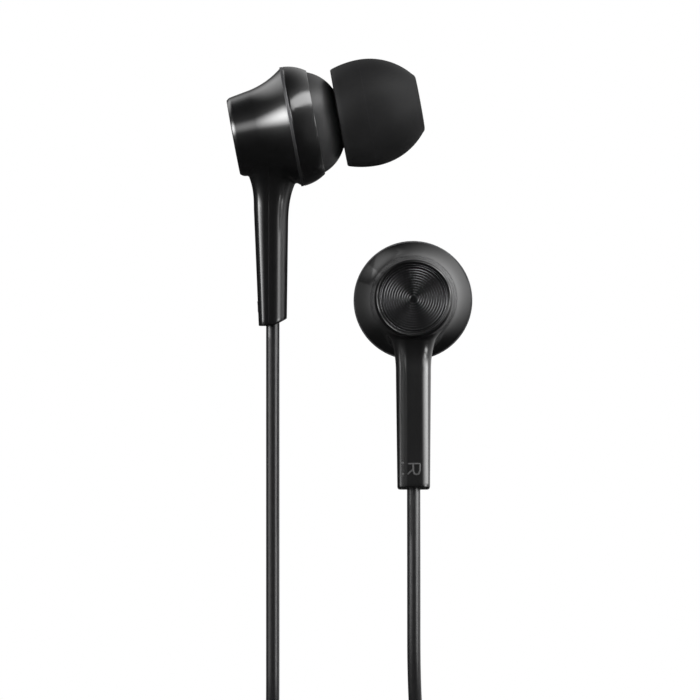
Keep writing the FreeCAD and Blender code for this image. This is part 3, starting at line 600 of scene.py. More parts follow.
# Back disc: a turned aluminium disc, anodised dark, pressed into the recess of the horn's back.
# A form tool leaves its fine rings, and a deeper groove sets off its bright bevelled edge.
disc_radius, bevel_radius, flat_radius = 3.99, 3.84, 3.83
rings_from, rings_to = 0.35, 3.62
ring_pitch, ring_height = 0.29, 0.030
rings_fade_in, rings_fade_out = 0.02, 0.05
groove_radius, groove_width, groove_depth = 3.70, 0.045, 0.06
r = np.concatenate([np.linspace(disc_radius, bevel_radius, 4), np.linspace(flat_radius, 0, 380)])
rings = 0.5 - 0.5 * np.cos(2 * np.pi * (r - rings_from) / ring_pitch)
ringed = np.clip((rings_to - r) / rings_fade_out, 0, 1)
ringed = ringed * np.clip((r - rings_from) / rings_fade_in, 0, 1)
groove = np.exp(-(((r - groove_radius) / groove_width) ** 2))
bevel = np.clip(r - bevel_radius, 0, None)
disc_face = np.column_stack([ring_height * rings * ringed + groove_depth * groove + bevel, r])
disc_profile = np.concatenate([[(recess_floor, 0), (recess_floor, disc_radius)], disc_face])
disc_metal = Finish("disc_metal", Metallic=1.0)
disc_place = disc_metal.own_place()
turning = disc_metal.lines(disc_metal.from_axis(disc_place), 22.0)
disc_cloud = disc_metal.noise(disc_place, 1.3)
disc_metal.surface(
    0.17 + turning * 0.08 + disc_cloud * 0.05,
    turning * 0.6 + disc_cloud * 0.4, (0.080, 0.080, 0.082), (0.140, 0.140, 0.145),
    relief=turning * 0.004)
in_both_buds("disc", "back_disc", [turned(disc_profile)], disc_metal, sharp=60)

# Belt ring: a thin polished metal ring at the horn's widest place.
# It is pressed on over the joint between the horn and the front band.
belt_front, belt_radius, belt_bore = 6.62, 6.778, 5.2
belt_metal = Finish("belt_metal", Metallic=1.0)
brushed_place = belt_metal.stretched(belt_metal.own_place(), (34, 0.9, 0.9))
brushing = belt_metal.noise(brushed_place, 1.0, 3.0)
belt_metal.surface(
    0.42 + brushing * 0.16, brushing, (0.12, 0.12, 0.124), (0.20, 0.20, 0.206),
    relief=brushing * 0.002)
belt_profile = softened([
    (belt_station, belt_bore), (belt_station, belt_radius),
    (belt_front, belt_radius), (belt_front, belt_bore),
], 0.06, 5)
belt = turned(np.concatenate([belt_profile, belt_profile[:1]]))
in_both_buds("belt", "belt_ring", [belt], belt_metal)


def crowned(start, end, crown, count=26):
    """Arc from one point to another that stands out from its chord by the crown at the middle."""
    start, end = np.array(start, float), np.array(end, float)
    t = np.linspace(0, 1, count)[:, None]
    along = end - start
    outward = np.array([-along[1], along[0]]) / np.linalg.norm(along)
    return start + along * t + outward * crown * 4 * t * (1 - t)


# Front band: a gloss black ring that narrows forward from the belt, glued over the spigot.
band_front, band_nose = 9.20, 5.87
band = crowned((belt_front, belt_radius), (band_front, band_nose), 0.20)
band_edge = [band[-2], band[-1], (band_front, belt_bore)]
band_profile = np.concatenate([
    [(belt_front, belt_bore), (belt_front, belt_radius - 0.05)],
    band[1:-1],
    softened_run(band_edge, [0, 0.09, 0], 6),
    [(band_front, belt_bore), (belt_front, belt_bore)],
])
in_both_buds("band", "front_band", [turned(band_profile)], housing)

# Nozzle dome: a satin black dome that closes the front, and drops to the neck the ear tip grips.
# A low lip on its front goes round the end of the tip's core, so that no gap shows there.
dome_back, dome_edge = 8.2, 5.70
dome_front, dome_nose = 11.75, 3.40
lip_front, lip_bore = 11.85, 3.34
neck_end, neck_radius = 15.55, 2.2
nozzle_front, nozzle_shoulder = 16.60, 16.50
nozzle_radius, nozzle_end_radius = 2.45, 2.20
spigot_mouth = 4.37
mesh_seat, mesh_bore = 16.35, 1.88
sound_back, sound_bore = 10.95, 1.55
dome_profile = np.concatenate([
    crowned((band_front, dome_edge), (dome_front, dome_nose), 0.33),
    [(lip_front, dome_nose), (lip_front, lip_bore), (dome_front, lip_bore)],
    [(dome_front, neck_radius), (neck_end, neck_radius), (neck_end, nozzle_radius)],
    [(nozzle_shoulder, nozzle_radius), (nozzle_front, nozzle_end_radius)],
    [(nozzle_front, mesh_bore)],
    [(mesh_seat, mesh_bore), (mesh_seat, sound_bore), (sound_back, sound_bore)],
    [(dome_back, spigot_mouth), (dome_back, spigot_radius), (band_front, spigot_radius)],
    [(band_front, dome_edge)],
])
dome_plastic = Finish("dome_plastic", IOR=1.5)
dome_place = dome_plastic.place()
dome_spark = dome_plastic.noise(dome_place, 14.0)
dome_cloud = dome_plastic.noise(dome_place, 0.8)
dome_plastic.surface(
    0.38 + dome_spark * 0.06 + dome_cloud * 0.05,
    dome_cloud, (0.018, 0.018, 0.0185), (0.027, 0.027, 0.0275),
    relief=dome_spark * 0.0035)
in_both_buds("dome", "nozzle_dome", [turned(dome_profile)], dome_plastic)

# Ear tip: one moulding of soft black silicone, a thin flared skirt over a thick core.
# It grips the nozzle's lip, and pulls off forwards.
tip_back, tip_crown = np.array((11.87, 5.49)), np.array((15.10, 6.03))
tip_nose, tip_front = np.array((20.75, 3.40)), np.array((21.10, 3.05))
skirt_back, skirt_middle, skirt_root = (11.87, 5.04), (15.10, 5.13), (17.95, 3.65)
core_back, core_radius, core_bore, core_root = 11.80, 3.30, 2.50, 17.60
mouth_radius, mouth_bore, mouth_back = 2.35, 1.80, 20.0
core_step = 16.65
skirt_edge = 11.83
tip_start = tip_back + (0, -0.04)
mould_station, mould_half = 15.05, 0.045


def level_rise(level, end):
    """Rise of the arc between the two that lies level with the axis at the first."""
    along = np.abs(np.asarray(end) - level)
    chord = math.hypot(*along)
    return 0.5 * chord * math.tan(0.5 * math.atan2(along[1], along[0]))


def arc_between(start, end, rise, count):
    """Circle's arc with the rise at its middle, outward of its chord.

    With half chord h and rise e: radius = (h^2 + e^2) / 2e, about a middle that far inward.
    """
    start, end = np.array(start, float), np.array(end, float)
    along = end - start
    half = np.linalg.norm(along) / 2
    outward = np.array([-along[1], along[0]]) / (2 * half)
    radius = (half**2 + rise**2) / (2 * rise)
    middle = (start + end) / 2 - outward * (radius - rise)
    turn = np.linspace(-1, 1, count)[:, None] * math.asin(half / radius)
    return middle + radius * (np.sin(turn) * along / (2 * half) + np.cos(turn) * outward)


tip_skin = np.concatenate([
    arc_between(tip_back, tip_crown, level_rise(tip_crown, tip_back), 20)[:-1],
    arc_between(tip_crown, tip_nose, level_rise(tip_crown, tip_nose), 44),
])
tip_corners = [tip_skin[-2], tip_nose, tip_front, (tip_front[0], mouth_radius)]
tip_profile = np.concatenate([
    [tip_start],
    tip_skin[1:-1],
    softened_run(tip_corners, [0, 0.25, 0.3, 0], 8),
    [(tip_front[0], mouth_radius), (mouth_back, mouth_bore), (core_step, mouth_bore)],
    [(core_step, core_bore), (core_back, core_bore), (core_back, core_radius)],
    [(core_root, core_radius)],
    arc_between(skirt_middle, skirt_root, 0.35, 14)[::-1],
    arc_between(skirt_back, skirt_middle, 0.04, 14)[-2::-1],
    [(skirt_edge, 5.15), (skirt_edge, 5.35), tip_start],
])
silicone = Finish("tip_silicone", IOR=1.25)
silicone_place = silicone.own_place()
silicone_cloud = silicone.noise(silicone_place, 0.45)
silicone_skin = silicone.noise(silicone_place, 7.0, 3.0)
silicone_dust = silicone.noise(silicone_place, 19.0).between(0.64, 0.78)
along_tip = silicone.parts(silicone_place)
mould_line = ((along_tip - mould_station) / mould_half).math("ABSOLUTE").between(1.0, 0.0)
# A ring near the tip's back edge is coloured lighter: a painted sheen, not a tone of the silicone.
painted_back_sheen = along_tip.between(12.6, 12.0)
# The tip's colour mixes real dust and the mould line with that painted back-edge sheen.
silicone_dust_and_sheen = silicone_dust * 0.35 + painted_back_sheen * 0.3 + mould_line * 0.25
silicone.surface(
    0.50 + silicone_cloud * 0.08 + silicone_skin * 0.05,
    silicone_cloud * 0.45 + silicone_dust_and_sheen, (0.0068, 0.0068, 0.0071), (0.018, 0.018, 0.0185),
    relief=silicone_cloud * 0.03 + silicone_skin * 0.004 + mould_line * 0.008)
in_both_buds("tip", "ear_tip", [turned(tip_profile)], silicone, ("left_tip", "right_tip"))

# Nozzle mesh: fine stainless wires woven square, pressed into the nozzle's mouth in a thin rim.
# It keeps wax out of the sound bore. Each wire passes over one cross wire and under the next.
mesh_radius = 1.85
mesh_station = 16.475
wire_radius = 0.042
wire_pitch = 0.14
wire_sides = 6
wire_end_gap = 0.02
mesh_steel = Finish("mesh_steel", Metallic=1.0)
mesh_place = mesh_steel.own_place()
mesh_stain = mesh_steel.noise(mesh_place, 2.2)
mesh_scratch = mesh_steel.noise(mesh_place, 30.0)
mesh_steel.surface(
    0.24 + mesh_scratch * 0.14, mesh_stain, (0.32, 0.32, 0.33), (0.55, 0.55, 0.56),
    relief=mesh_scratch * 0.001)


def woven_wires():
    """Wires across the round, both ways: a wave of a wire's radius over and under the cross wires.

    On the line v = n p the wire's middle is at u and s = station + w cos(pi (u / p + n)),
    and each point of its skin is a wire's radius from that.
    """
    count = int(mesh_radius / wire_pitch)
    lines = np.arange(-count, count + 1)
    reach = np.sqrt(mesh_radius**2 - (lines * wire_pitch) ** 2) - wire_end_gap
    u = np.linspace(-1, 1, 2 * count + 1)[None, :] * reach[:, None]
    wave = wire_radius * np.cos(np.pi * (u / wire_pitch + lines[:, None]))
    turn = np.linspace(0, 2 * np.pi, wire_sides, endpoint=False)
    skin = wire_radius * np.stack([np.sin(turn), np.cos(turn)], -1)
    s = mesh_station + wave[..., None] + skin[:, 0]
    v = (lines * wire_pitch)[:, None, None] + skin[:, 1]
    u, v, s = np.broadcast_arrays(u[..., None], v, s)
    along = np.stack([s, u, v], -1)
    across = np.stack([2 * mesh_station - s, v, u], -1)
    return [*along, *across]


rim_back, rim_bore = 16.36, 1.70
rim_corners = [
    (rim_back, rim_bore), (rim_back, mesh_radius),
    (nozzle_front, mesh_radius), (nozzle_front, rim_bore),
]
mesh_rim = turned(softened(rim_corners, 0.05, 5), 96)
mesh_rim = np.concatenate([mesh_rim, mesh_rim[:1]])
in_both_buds("mesh", "nozzle_mesh", [*woven_wires(), mesh_rim], mesh_steel, sharp=60)

# Side marks: a small R or L moulded on the outward face of each stem, near its bottom,
# and two dots to feel beside the R. They stand a hair proud, and keep the mould's matt grain.
mark_depth = 19.83
mark_size = 1.40
mark_rise = 0.06
stroke_width = 0.19
stroke_steps, stroke_sides = 60, 16
stroke_foot = 1.2
stroke_end_power = 40
dot_radius = 0.185
dot_side = 1.27
dot_rise = 0.13
dot_depths = (19.15, 20.42)
letter_strokes = {
    "left": [[(-0.42, 0.5), (-0.42, -0.5), (0.40, -0.5)]],
    "right": [
        [(-0.42, -0.5), (-0.42, 0.5), (0.12, 0.5), (0.40, 0.40),
         (0.46, 0.22), (0.40, 0.04), (0.12, -0.05), (-0.42, -0.05)],
        [(0.02, -0.05), (0.44, -0.5)],
    ],
}


def on_stem(y, depth, rise):
    """Points that stand on the outward half, at places across the stem and below the ear axis.

    Its x is the face up to y0, and x0 - a sin(t) with cos(t) = (|y| - y0) / b beyond.
    """
    face, _, half = stem_sizes(depth)
    a, b = outer_shares[0] * np.abs(face - stem_parting), outer_shares[1] * half
    reach = np.clip((np.abs(y) - (half - b)) / b, 0, 1)
    x = face + a - a * np.sqrt(1 - reach**2)
    return np.stack([x - rise, y, -depth], -1) @ np.array(lean_turn) + (stem_station, 0, 0)


def stroke(points):
    """Bar along a path on the face: its section is a flat half round, sunk a little at its foot.

    The letter lies on its side, so that it reads with the stem level.
    """
    points = np.asarray(points) * mark_size
    steps = np.linalg.norm(np.diff(points, axis=0), axis=1)
    distance = np.concatenate([[0], np.cumsum(steps)])
    at = np.linspace(0, distance[-1], stroke_steps)
    path = np.column_stack([np.interp(at, distance, points[:, i]) for i in (0, 1)])
    ahead = np.gradient(path, axis=0)
    ahead /= np.linalg.norm(ahead, axis=1, keepdims=True)
    side_way = np.column_stack([ahead[:, 1], -ahead[:, 0]])
    turn = np.linspace(0, 2 * np.pi, stroke_sides, endpoint=False)
    across = np.cos(turn) * stroke_width / 2
    rise = np.sin(turn)
    half_round = np.where(rise > 0, np.sqrt(np.abs(rise)), stroke_foot * rise)
    taper = np.sqrt(1 - np.linspace(-1, 1, stroke_steps) ** stroke_end_power)[:, None]
    place = path[:, None, :] + side_way[:, None, :] * (across * taper)[..., None]
    return on_stem(-place[..., 1], mark_depth + place[..., 0], mark_rise * half_round * taper)


def dot(depth):
    """Low round dot: radius R cos(q) and height H sin(q) on the stem's flank."""
    turn = np.linspace(0, 2 * np.pi, 20, endpoint=False)
    q = np.linspace(-0.5, np.pi / 2, 8)[:, None]
    y = dot_side + dot_radius * np.cos(q) * np.cos(turn)
    down = depth + dot_radius * np.cos(q) * np.sin(turn)
    return on_stem(y, down, dot_rise * np.sin(q))


mark_plastic = Finish("mark_plastic", IOR=1.5)
mark_grain = mark_plastic.noise(mark_plastic.place(), 18.0, 3.0)
mark_plastic.surface(
    0.28 + mark_grain * 0.14, mark_grain, (0.038, 0.038, 0.0385), (0.062, 0.062, 0.0625),
    relief=mark_grain * 0.004)
for side, strokes in letter_strokes.items():
    grids = [stroke(points) for points in strokes]
    if side == "right":
        grids += [dot(depth) for depth in dot_depths]
    make_piece(f"{side}_mark", grids, bud_frames[side], mark_plastic)

# Loudspeaker: in each bud a steel basket and yoke with a nickel-plated magnet and a pole plate,
# a copper voice coil on a film diaphragm under a pierced steel guard, and a small green board.
# The pieces are turned, pressed or wound about the bud's axis, and glued in a stack.
coil_wire_pitch = 0.10
diaphragm_ribs = 36
pad_side = 0.55


def bud_finish(side, name, *pieces, **plain):
    """A finish given to a bud's CAD pieces, and places in the bud's frame: R^T (p - T), in mm."""
    finish = Finish(f"{side}_{name}", **plain)
    for piece in pieces:
        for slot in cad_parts[f"{side}_{piece}"].material_slots:
            slot.material = finish.material
    turn, origin = bud_frames[side]
    values = {"Vector": finish.place(), "Location": origin.tolist(),
              "Rotation": Matrix(turn.tolist()).to_euler()}
    return finish, finish.node("ShaderNodeMapping", {"vector_type": "TEXTURE"}, values)


for side in bud_frames:
    steel, steel_place = bud_finish(
        side, "driver_steel", "driver_frame", "magnet_yoke", "pole_plate", "driver_guard",
        Metallic=1.0)
    steel_lines = steel.lines(steel.from_axis(steel_place), 9.0)
    steel_stain = steel.noise(steel_place, 1.1, 3.0)
    steel.surface(
        0.24 + steel_lines * 0.10 + steel_stain * 0.10,
        steel_stain, (0.40, 0.40, 0.42), (0.58, 0.58, 0.60), relief=steel_lines * 0.004)

    nickel, nickel_place = bud_finish(side, "magnet_nickel", "magnet", Metallic=1.0)
    nickel_grain = nickel.noise(nickel_place, 11.0, 3.0)
    nickel.surface(
        0.16 + nickel_grain * 0.14,
        nickel_grain, (0.50, 0.49, 0.47), (0.68, 0.67, 0.65), relief=nickel_grain * 0.004)

    copper, copper_place = bud_finish(side, "coil_copper", "voice_coil", Metallic=1.0)
    # The wire crests are coloured lighter and the grooves between the wires darker: painted shade
    # that follows the winding's relief.
    winding_relief_and_shade = copper.parts(copper_place) * (2 * math.pi / coil_wire_pitch)
    winding_relief_and_shade = winding_relief_and_shade.math("SINE") * 0.5 + 0.5
    lacquer = copper.noise(copper_place, 3.0)
    copper.surface(
        0.24 + lacquer * 0.14,
        winding_relief_and_shade * 0.7 + lacquer * 0.3, (0.42, 0.17, 0.08), (0.82, 0.42, 0.24),
        relief=winding_relief_and_shade * 0.02)

    film, film_place = bud_finish(side, "diaphragm_film", "diaphragm", IOR=1.6)
    film_parts = film.parts(film_place)
    film_angle = film_parts.other("Y").math("ARCTAN2", film_parts.other("Z"))
    film_radius = film.from_axis(film_place)
    film_wave = (film_angle * diaphragm_ribs + film_radius * 4).math("SINE") * 0.5 + 0.5
    # The ribs' crests are coloured lighter and their troughs darker: painted shade that follows
    # their relief.
    rib_relief_and_shade = film_wave * film_radius.between(2.3, 2.6)
    film_cloud = film.noise(film_place, 1.6)
    film.surface(
        0.18 + film_cloud * 0.16,
        rib_relief_and_shade * 0.5 + film_cloud * 0.5, (0.44, 0.41, 0.34), (0.62, 0.59, 0.52), relief=rib_relief_and_shade * 0.03)

    board, board_place = bud_finish(side, "board_green", "terminal_board", IOR=1.5)
    board_weave = board.noise(board.stretched(board_place, (9, 9, 2)), 1.0, 3.0)
    pads = board.parts(board_place).other("Y").math("ABSOLUTE") - pad_side
    pads = pads.math("ABSOLUTE").between(0.22, 0.18)
    board.give(Metallic=pads)
    board.surface(
        0.40 - pads * 0.12 + board_weave * 0.08,
        pads, (0.04, 0.17, 0.08), (0.62, 0.60, 0.56), relief=board_weave * 0.006 + pads * 0.03)

    # Crimp: a short brass tube squeezed on the cord's end, so that a pull can't reach the solder.
    brass, brass_place = bud_finish(side, "crimp_brass", "cord_crimp", Metallic=1.0)
    brass_draw = brass.noise(brass.stretched(brass_place, (8, 8, 0.8)), 1.0, 3.0)
    brass.surface(
        0.22 + brass_draw * 0.16,
        brass_draw, (0.50, 0.36, 0.15), (0.74, 0.58, 0.31), relief=brass_draw * 0.006)

# Splitter: a flat-sided sleeve of soft black plastic, moulded over the place where the cord parts.
# Two thin strands enter its wide end, and the thick one leaves at its narrow end.
splitter_middle = (-2.70, -82.055)
splitter_near, splitter_far = 40.26, 50.76
splitter_half = np.array([2.20, 1.30])
splitter_tail_half = np.array([1.45, 1.20])
splitter_taper = 0.45
splitter_end_round = 0.30
splitter_power = 3.2
splitter_around = 72
grip_plastic = Finish("grip_plastic", IOR=1.5)
grip_place = grip_plastic.place()
grip_grain = grip_plastic.noise(grip_place, 10.0, 3.0)
grip_cloud = grip_plastic.noise(grip_place, 0.7)
grip_plastic.surface(
    0.40 + grip_grain * 0.10 + grip_cloud * 0.05,
    grip_cloud, (0.009, 0.009, 0.0095), (0.017, 0.017, 0.0175),
    relief=grip_grain * 0.006 + grip_cloud * 0.006)


def splitter_skin():
    """Rounded box along y: |x / a|^n + |z / b|^n = 1, with a and b from a smooth taper to the tail.

    The ends close in a quarter round: each section shrinks by e (1 - cos q) as it nears its end.
    """
    end = splitter_end_round
    q = np.linspace(0, np.pi / 2, 7)
    inset = end * (1 - np.sin(q))
    step = end * (1 - np.cos(q))
    run = np.linspace(splitter_near + end, splitter_far - end, 44)[1:-1]
    y = np.concatenate([splitter_near + step, run, splitter_far - step[::-1]])
    shrink = np.concatenate([inset, np.zeros(len(run)), inset[::-1]])[:, None]
    t = (y - splitter_near) / (splitter_taper * (splitter_far - splitter_near))
    t = np.clip(t, 0, 1)[:, None]
    t = t * t * (3 - 2 * t)
    half = splitter_tail_half + (splitter_half - splitter_tail_half) * t - shrink
    turn = np.linspace(0, 2 * np.pi, splitter_around, endpoint=False)
    way = np.stack([np.cos(turn), np.sin(turn)], -1)
    around = np.sign(way) * np.abs(way) ** (2 / splitter_power)
    x, z = np.moveaxis(splitter_middle + half[:, None] * around, -1, 0)
    skin = np.stack([x, np.broadcast_to(y[:, None], x.shape), z], -1)
    first, last = (
        np.broadcast_to([splitter_middle[0], end_y, splitter_middle[1]], (1, splitter_around, 3))
        for end_y in (splitter_near, splitter_far))
    return np.concatenate([first, skin, last])


world_frame = (np.identity(3), np.zeros(3))
splitter = make_piece("splitter", [splitter_skin()], world_frame, grip_plastic)
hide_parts("y_splitter")

# Plug: a satin black plastic grip moulded over a 3.5 mm jack of plated brass in three contacts.
# Black rings insulate the contacts, and a ribbed sleeve keeps the cord from bending sharply.
plug_middle = (-2.70, 51.2, -72.38)
plug_around = 96
plug_turn = np.array([(0, 1, 0), (-1, 0, 0), (0, 0, 1)], float)
plug_frame = (plug_turn, np.array(plug_middle))
relief_from, relief_to, relief_length = 0.25, 6.9, 7.0
relief_pitch, relief_groove = 0.95, 0.16
relief_start, relief_end = 1.40, 1.95
grip_radius, grip_end = 2.70, 25.0
rings_start, rings_end = 8.2, 13.2
ring_depth = 0.10
sleeve_end, ring_near, ring_far, tip_near = 32.8, 33.6, 35.2, 36.0
sleeve_radius, contact_radius, insulator_radius = 1.75, 1.74, 1.45
contact_edge, insulator_edge = 0.05, 0.02
relief_run = np.linspace(relief_from, relief_to, 140)
relief_ribs = 0.5 + 0.5 * np.cos(2 * np.pi * (relief_run - relief_from) / relief_pitch)
relief_taper = relief_start + (relief_end - relief_start) * relief_run / relief_length
relief_radius = relief_taper - relief_groove * (1 - relief_ribs**0.6)
grip_run = np.linspace(rings_start, rings_end, 120)
grip_rings = 0.5 - 0.5 * np.cos(2 * np.pi * (grip_run - rings_start))
front_corners = [(24.6, grip_radius), (grip_end, 2.30), (grip_end, 1.2)]
rear_corners = [
    (relief_to, relief_end), (relief_length, relief_end), (7.6, grip_radius), front_corners[0],
]
grip_profile = np.concatenate([
    [(0, 0), (0, 1.15), (0.1, 1.28)],
    np.column_stack([relief_run, relief_radius]),
    softened_run(rear_corners, [0, 0.1, 0.3, 0], 6),
    np.column_stack([grip_run, grip_radius - ring_depth * grip_rings**2]),
    softened_run([(rings_end, grip_radius), *front_corners], [0, 0.3, 0.2, 0], 6),
    [(grip_end, 0)],
])
contact_metal = Finish("contact_metal", Metallic=1.0)
contact_place = contact_metal.own_place()
contact_lines = contact_metal.noise(contact_metal.stretched(contact_place, (26, 1.5, 1.5)), 1.0)
contact_rub = contact_metal.noise(contact_metal.stretched(contact_place, (0.6, 9, 9)), 1.0, 3.0)
contact_rub = contact_rub.between(0.55, 0.75)
contact_metal.surface(
    0.10 + contact_lines * 0.08 + contact_rub * 0.12,
    contact_rub, (0.72, 0.70, 0.66), (0.60, 0.58, 0.54), relief=contact_lines * 0.0012)
insulator = Finish("insulator_plastic", IOR=1.5)
insulator_lines = insulator.noise(insulator.stretched(insulator.own_place(), (18, 2, 2)), 1.0)
insulator.surface(
    0.38 + insulator_lines * 0.14,
    insulator_lines, (0.009, 0.009, 0.009), (0.018, 0.018, 0.018), relief=insulator_lines * 0.003)


def drum(start, end, radius, edge):
    """Turned solid between two places, with its edges rounded."""
    corners = [(start, 0), (start, radius), (end, radius), (end, 0)]
    rounded = softened_run(corners, [0, edge, edge, 0], 6)
    return turned(np.concatenate([[(start, 0)], rounded, [(end, 0)]]), plug_around)


rear_insulator = drum(sleeve_end, ring_near, insulator_radius, insulator_edge)
front_insulator = drum(ring_far, tip_near, insulator_radius, insulator_edge)
tip_corners = [
    (tip_near, 0.0), (tip_near, contact_radius), (36.5, contact_radius), (37.35, 1.26),
    (37.9, 1.58), (38.85, 0.70), (39.0, 0.0),
]
tip_turned = softened_run(tip_corners, [0, 0.06, 0.12, 0.28, 0.35, 0.22, 0], 9)
tip_turned = turned(np.concatenate([tip_corners[:1], tip_turned, tip_corners[-1:]]), plug_around)
plug_solids = (
    ("grip", "plug_grip", turned(grip_profile, plug_around), grip_plastic),
    ("sleeve", "plug_sleeve", drum(grip_end, sleeve_end, sleeve_radius, contact_edge),
     contact_metal),
    ("rear_insulator", "plug_rear_insulator", rear_insulator, insulator),
    ("ring", "plug_ring", drum(ring_near, ring_far, contact_radius, contact_edge), contact_metal),
    ("front_insulator", "plug_front_insulator", front_insulator, insulator),
    ("contact_tip", "plug_tip", tip_turned, contact_metal),
)
for name, node, grid, finish in plug_solids:
    piece = make_piece(name, [grid], plug_frame, finish)
    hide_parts(node)

# Tie: a flat strap of matt black plastic, closed round the whole hank to keep it together.
tie_near, tie_far = 34.0, 36.4
tie_low, tie_high = np.array([-18.15, -84.0]), np.array([12.75, -75.23])
tie_thickness = 0.35
tie_corner = 1.25
tie_corner_steps = 12
tie_plastic = Finish("tie_plastic", IOR=1.45)
tie_place = tie_plastic.place()
tie_grain = tie_plastic.noise(tie_place, 13.0, 3.0)
tie_ribs = (tie_plastic.parts(tie_place).other("Y") * 16).math("SINE") * 0.5 + 0.5
tie_plastic.surface(
    0.52 + tie_grain * 0.16, tie_grain, (0.010, 0.010, 0.0105), (0.020, 0.020, 0.0205),
    relief=tie_grain * 0.008 + tie_ribs * 0.03)


def strap():
    """The strap's section carried round a rectangle with rounded corners, a quarter circle at each.

    The section runs across y with rounded edges, and is `tie_thickness` thick outward to inward.
    """
    turn = np.linspace(0, np.pi / 2, tie_corner_steps)
    turn = np.concatenate([turn + corner * np.pi / 2 for corner in range(4)])
    out = np.stack([np.cos(turn), np.sin(turn)], -1)
    signs = np.array([(1, 1), (-1, 1), (-1, -1), (1, -1)])
    centres = (tie_low + tie_high) / 2 + signs * ((tie_high - tie_low) / 2 - tie_corner)
    middle = np.repeat(centres, tie_corner_steps, 0)
    inner = -tie_thickness
    section = softened([(tie_near, 0), (tie_near, inner), (tie_far, inner), (tie_far, 0)], 0.12, 5)
    reach = tie_corner + section[:, 1]
    ring = middle[None] + out[None] * reach[:, None, None]
    y = np.broadcast_to(section[:, :1], ring.shape[:2])
    grid = np.stack([ring[..., 0], y, ring[..., 1]], -1)
    return np.concatenate([grid, grid[:1]])


tie = make_piece("tie", [strap()], world_frame, tie_plastic, sharp=50)
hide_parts("cord_tie")

# Cords: two thin branches run from the earbuds to the splitter, and a thicker one on to the plug.
# Each is copper strands in a soft satin jacket, drawn as one round extrusion.
# The spare length is wound as a hank on the floor: half turns at each end of straight runs.
branch_diameter, main_diameter = 1.5 * mm, 2.0 * mm
hank_near, hank_far = 26.0, 66.0
hank_middle, splitter_layer = splitter_middle
splitter_exit_y, splitter_entry_y = splitter_near, splitter_far
_, plug_tail_y, plug_layer = plug_middle
left_layer, right_layer = -82.88, -81.23
main_low_layer, main_high_layer = -79.18, -76.73
corner_step, corner_first = 30, 15
lane_start = 34


def half_turns(lanes, layer, first_end):
    """Control points of a hank's half turns between lanes, on one layer.

    A turn from x0 to x1 about c = (x0 + x1) / 2 has corners at angles a = 15, 45 .. 165 degrees:
    x = c + (x0 - c) cos(a) / cos(15), and y beyond the run's end by |x0 - c| sin(a) / cos(15).
    """
    x0, x1 = lanes[:-1, None], lanes[1:, None]
    angle = np.radians(np.arange(corner_first, 180, corner_step))
    reach = 1 / np.cos(angle[0])
    at_far = (np.arange(len(x0)) + (first_end == hank_near)) % 2 == 0
    end = np.where(at_far, hank_far, hank_near)[:, None]
    way = np.where(at_far, 1, -1)[:, None]
    middle = (x0 + x1) / 2
    x = middle + (x0 - middle) * reach * np.cos(angle)
    y = end + way * np.abs(x0 - middle) * reach * np.sin(angle)
    return np.stack([x, y, np.full_like(x, layer)], -1).reshape(-1, 3)


def cord_curve(name, points, diameter):
    """Round cord along a smooth line: a NURBS spline with these control points, in millimetres."""
    data = bpy.data.curves.new(name, "CURVE")
    data.dimensions = "3D"
    data.bevel_depth = diameter / 2
    data.bevel_resolution = 7
    data.resolution_u = 10
    data.use_fill_caps = True
    spline = data.splines.new("NURBS")
    spline.points.add(len(points) - 1)
    placed = np.column_stack([np.asarray(points) * mm, np.ones(len(points))])
    spline.points.foreach_set("co", placed.ravel())
    spline.order_u = 3
    spline.use_endpoint_u = True
    data.materials.append(jacket.material)
    cord = added(name, data)
    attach(cord, "earphones")
    return cord


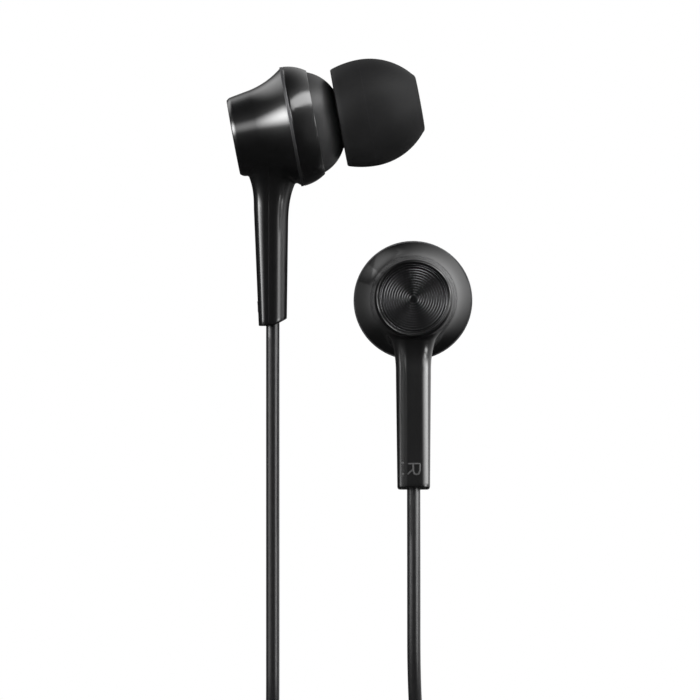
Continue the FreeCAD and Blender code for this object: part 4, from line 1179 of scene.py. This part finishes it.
def branch(name, fall, lanes, layer, leaves, drops, side_way):
    """A branch: its fall to the floor, the hank's lanes, and the way into its side of the splitter.

    `leaves` and `drops` are the places along y where it leaves the last lane and has dropped.
    """
    strand = hank_middle + side_way
    last = [(strand, drops, splitter_layer), (strand, splitter_entry_y - 1, splitter_layer)]
    turns = half_turns(lanes, layer, hank_far)
    points = [fall, [(lanes[0], lane_start, layer)], turns, [(lanes[-1], leaves, layer)], last]
    return cord_curve(name, np.concatenate(points), branch_diameter)


jacket = Finish("cord_jacket", IOR=1.65)
jacket_place = jacket.place()
jacket_grain = jacket.noise(jacket_place, 9.0, 3.0)
jacket_swell = jacket.noise(jacket_place, 1.1)
jacket.surface(
    0.24 + jacket_grain * 0.08 + jacket_swell * 0.05,
    jacket_swell, (0.006, 0.006, 0.0064), (0.010, 0.010, 0.0105),
    relief=jacket_grain * 0.003 + jacket_swell * 0.006)

left_lanes = hank_middle + np.array([-11.0, 9.35, -7.70, 6.05])
left_fall = [
    (-10.607, 0, -22.69), (-10.607, 0, -55.3), (-10.607, 0, left_layer + 12),
    (-11.407, 10, left_layer), (left_lanes[0], 26, left_layer),
]
left_cord = branch("left_branch", left_fall, left_lanes, left_layer, 63.0, 57.5, 1.0)
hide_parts("left_branch_cord", "left_branch_hank")

right_lanes = hank_middle + np.array([12.5, -11.2, 9.9, -8.6])
right_fall = [
    (5.22, 4.573, -41.158), (5.22, 2.732, -49.967), (5.22, 2.732, right_layer + 13),
    (7.22, 11.5, right_layer), (right_lanes[0], 24, right_layer),
]
right_cord = branch("right_branch", right_fall, right_lanes, right_layer, 62.5, 56.0, -1.0)
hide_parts("right_branch_cord", "right_branch_hank")

low_lanes = hank_middle + (7.2 + 1.35 * np.arange(6)) * np.array([-1, 1, -1, 1, -1, 1])
high_lanes = low_lanes[::-1]
main_points = np.concatenate([
    [
        (hank_middle, splitter_exit_y + 1, splitter_layer),
        (hank_middle, splitter_exit_y - 4.5, splitter_layer),
        (low_lanes[0], 29.5, main_low_layer),
    ],
    half_turns(low_lanes, main_low_layer, hank_near),
    [(low_lanes[-1], 43.5, main_low_layer), (low_lanes[-1], 48.5, main_high_layer)],
    half_turns(high_lanes, main_high_layer, hank_far),
    [
        (high_lanes[-1], 62.5, main_high_layer),
        (hank_middle, 56.0, plug_layer),
        (hank_middle, plug_tail_y, plug_layer),
    ],
])
main_cord = cord_curve("main_cord", main_points, main_diameter)
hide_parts("main_cord_hank")
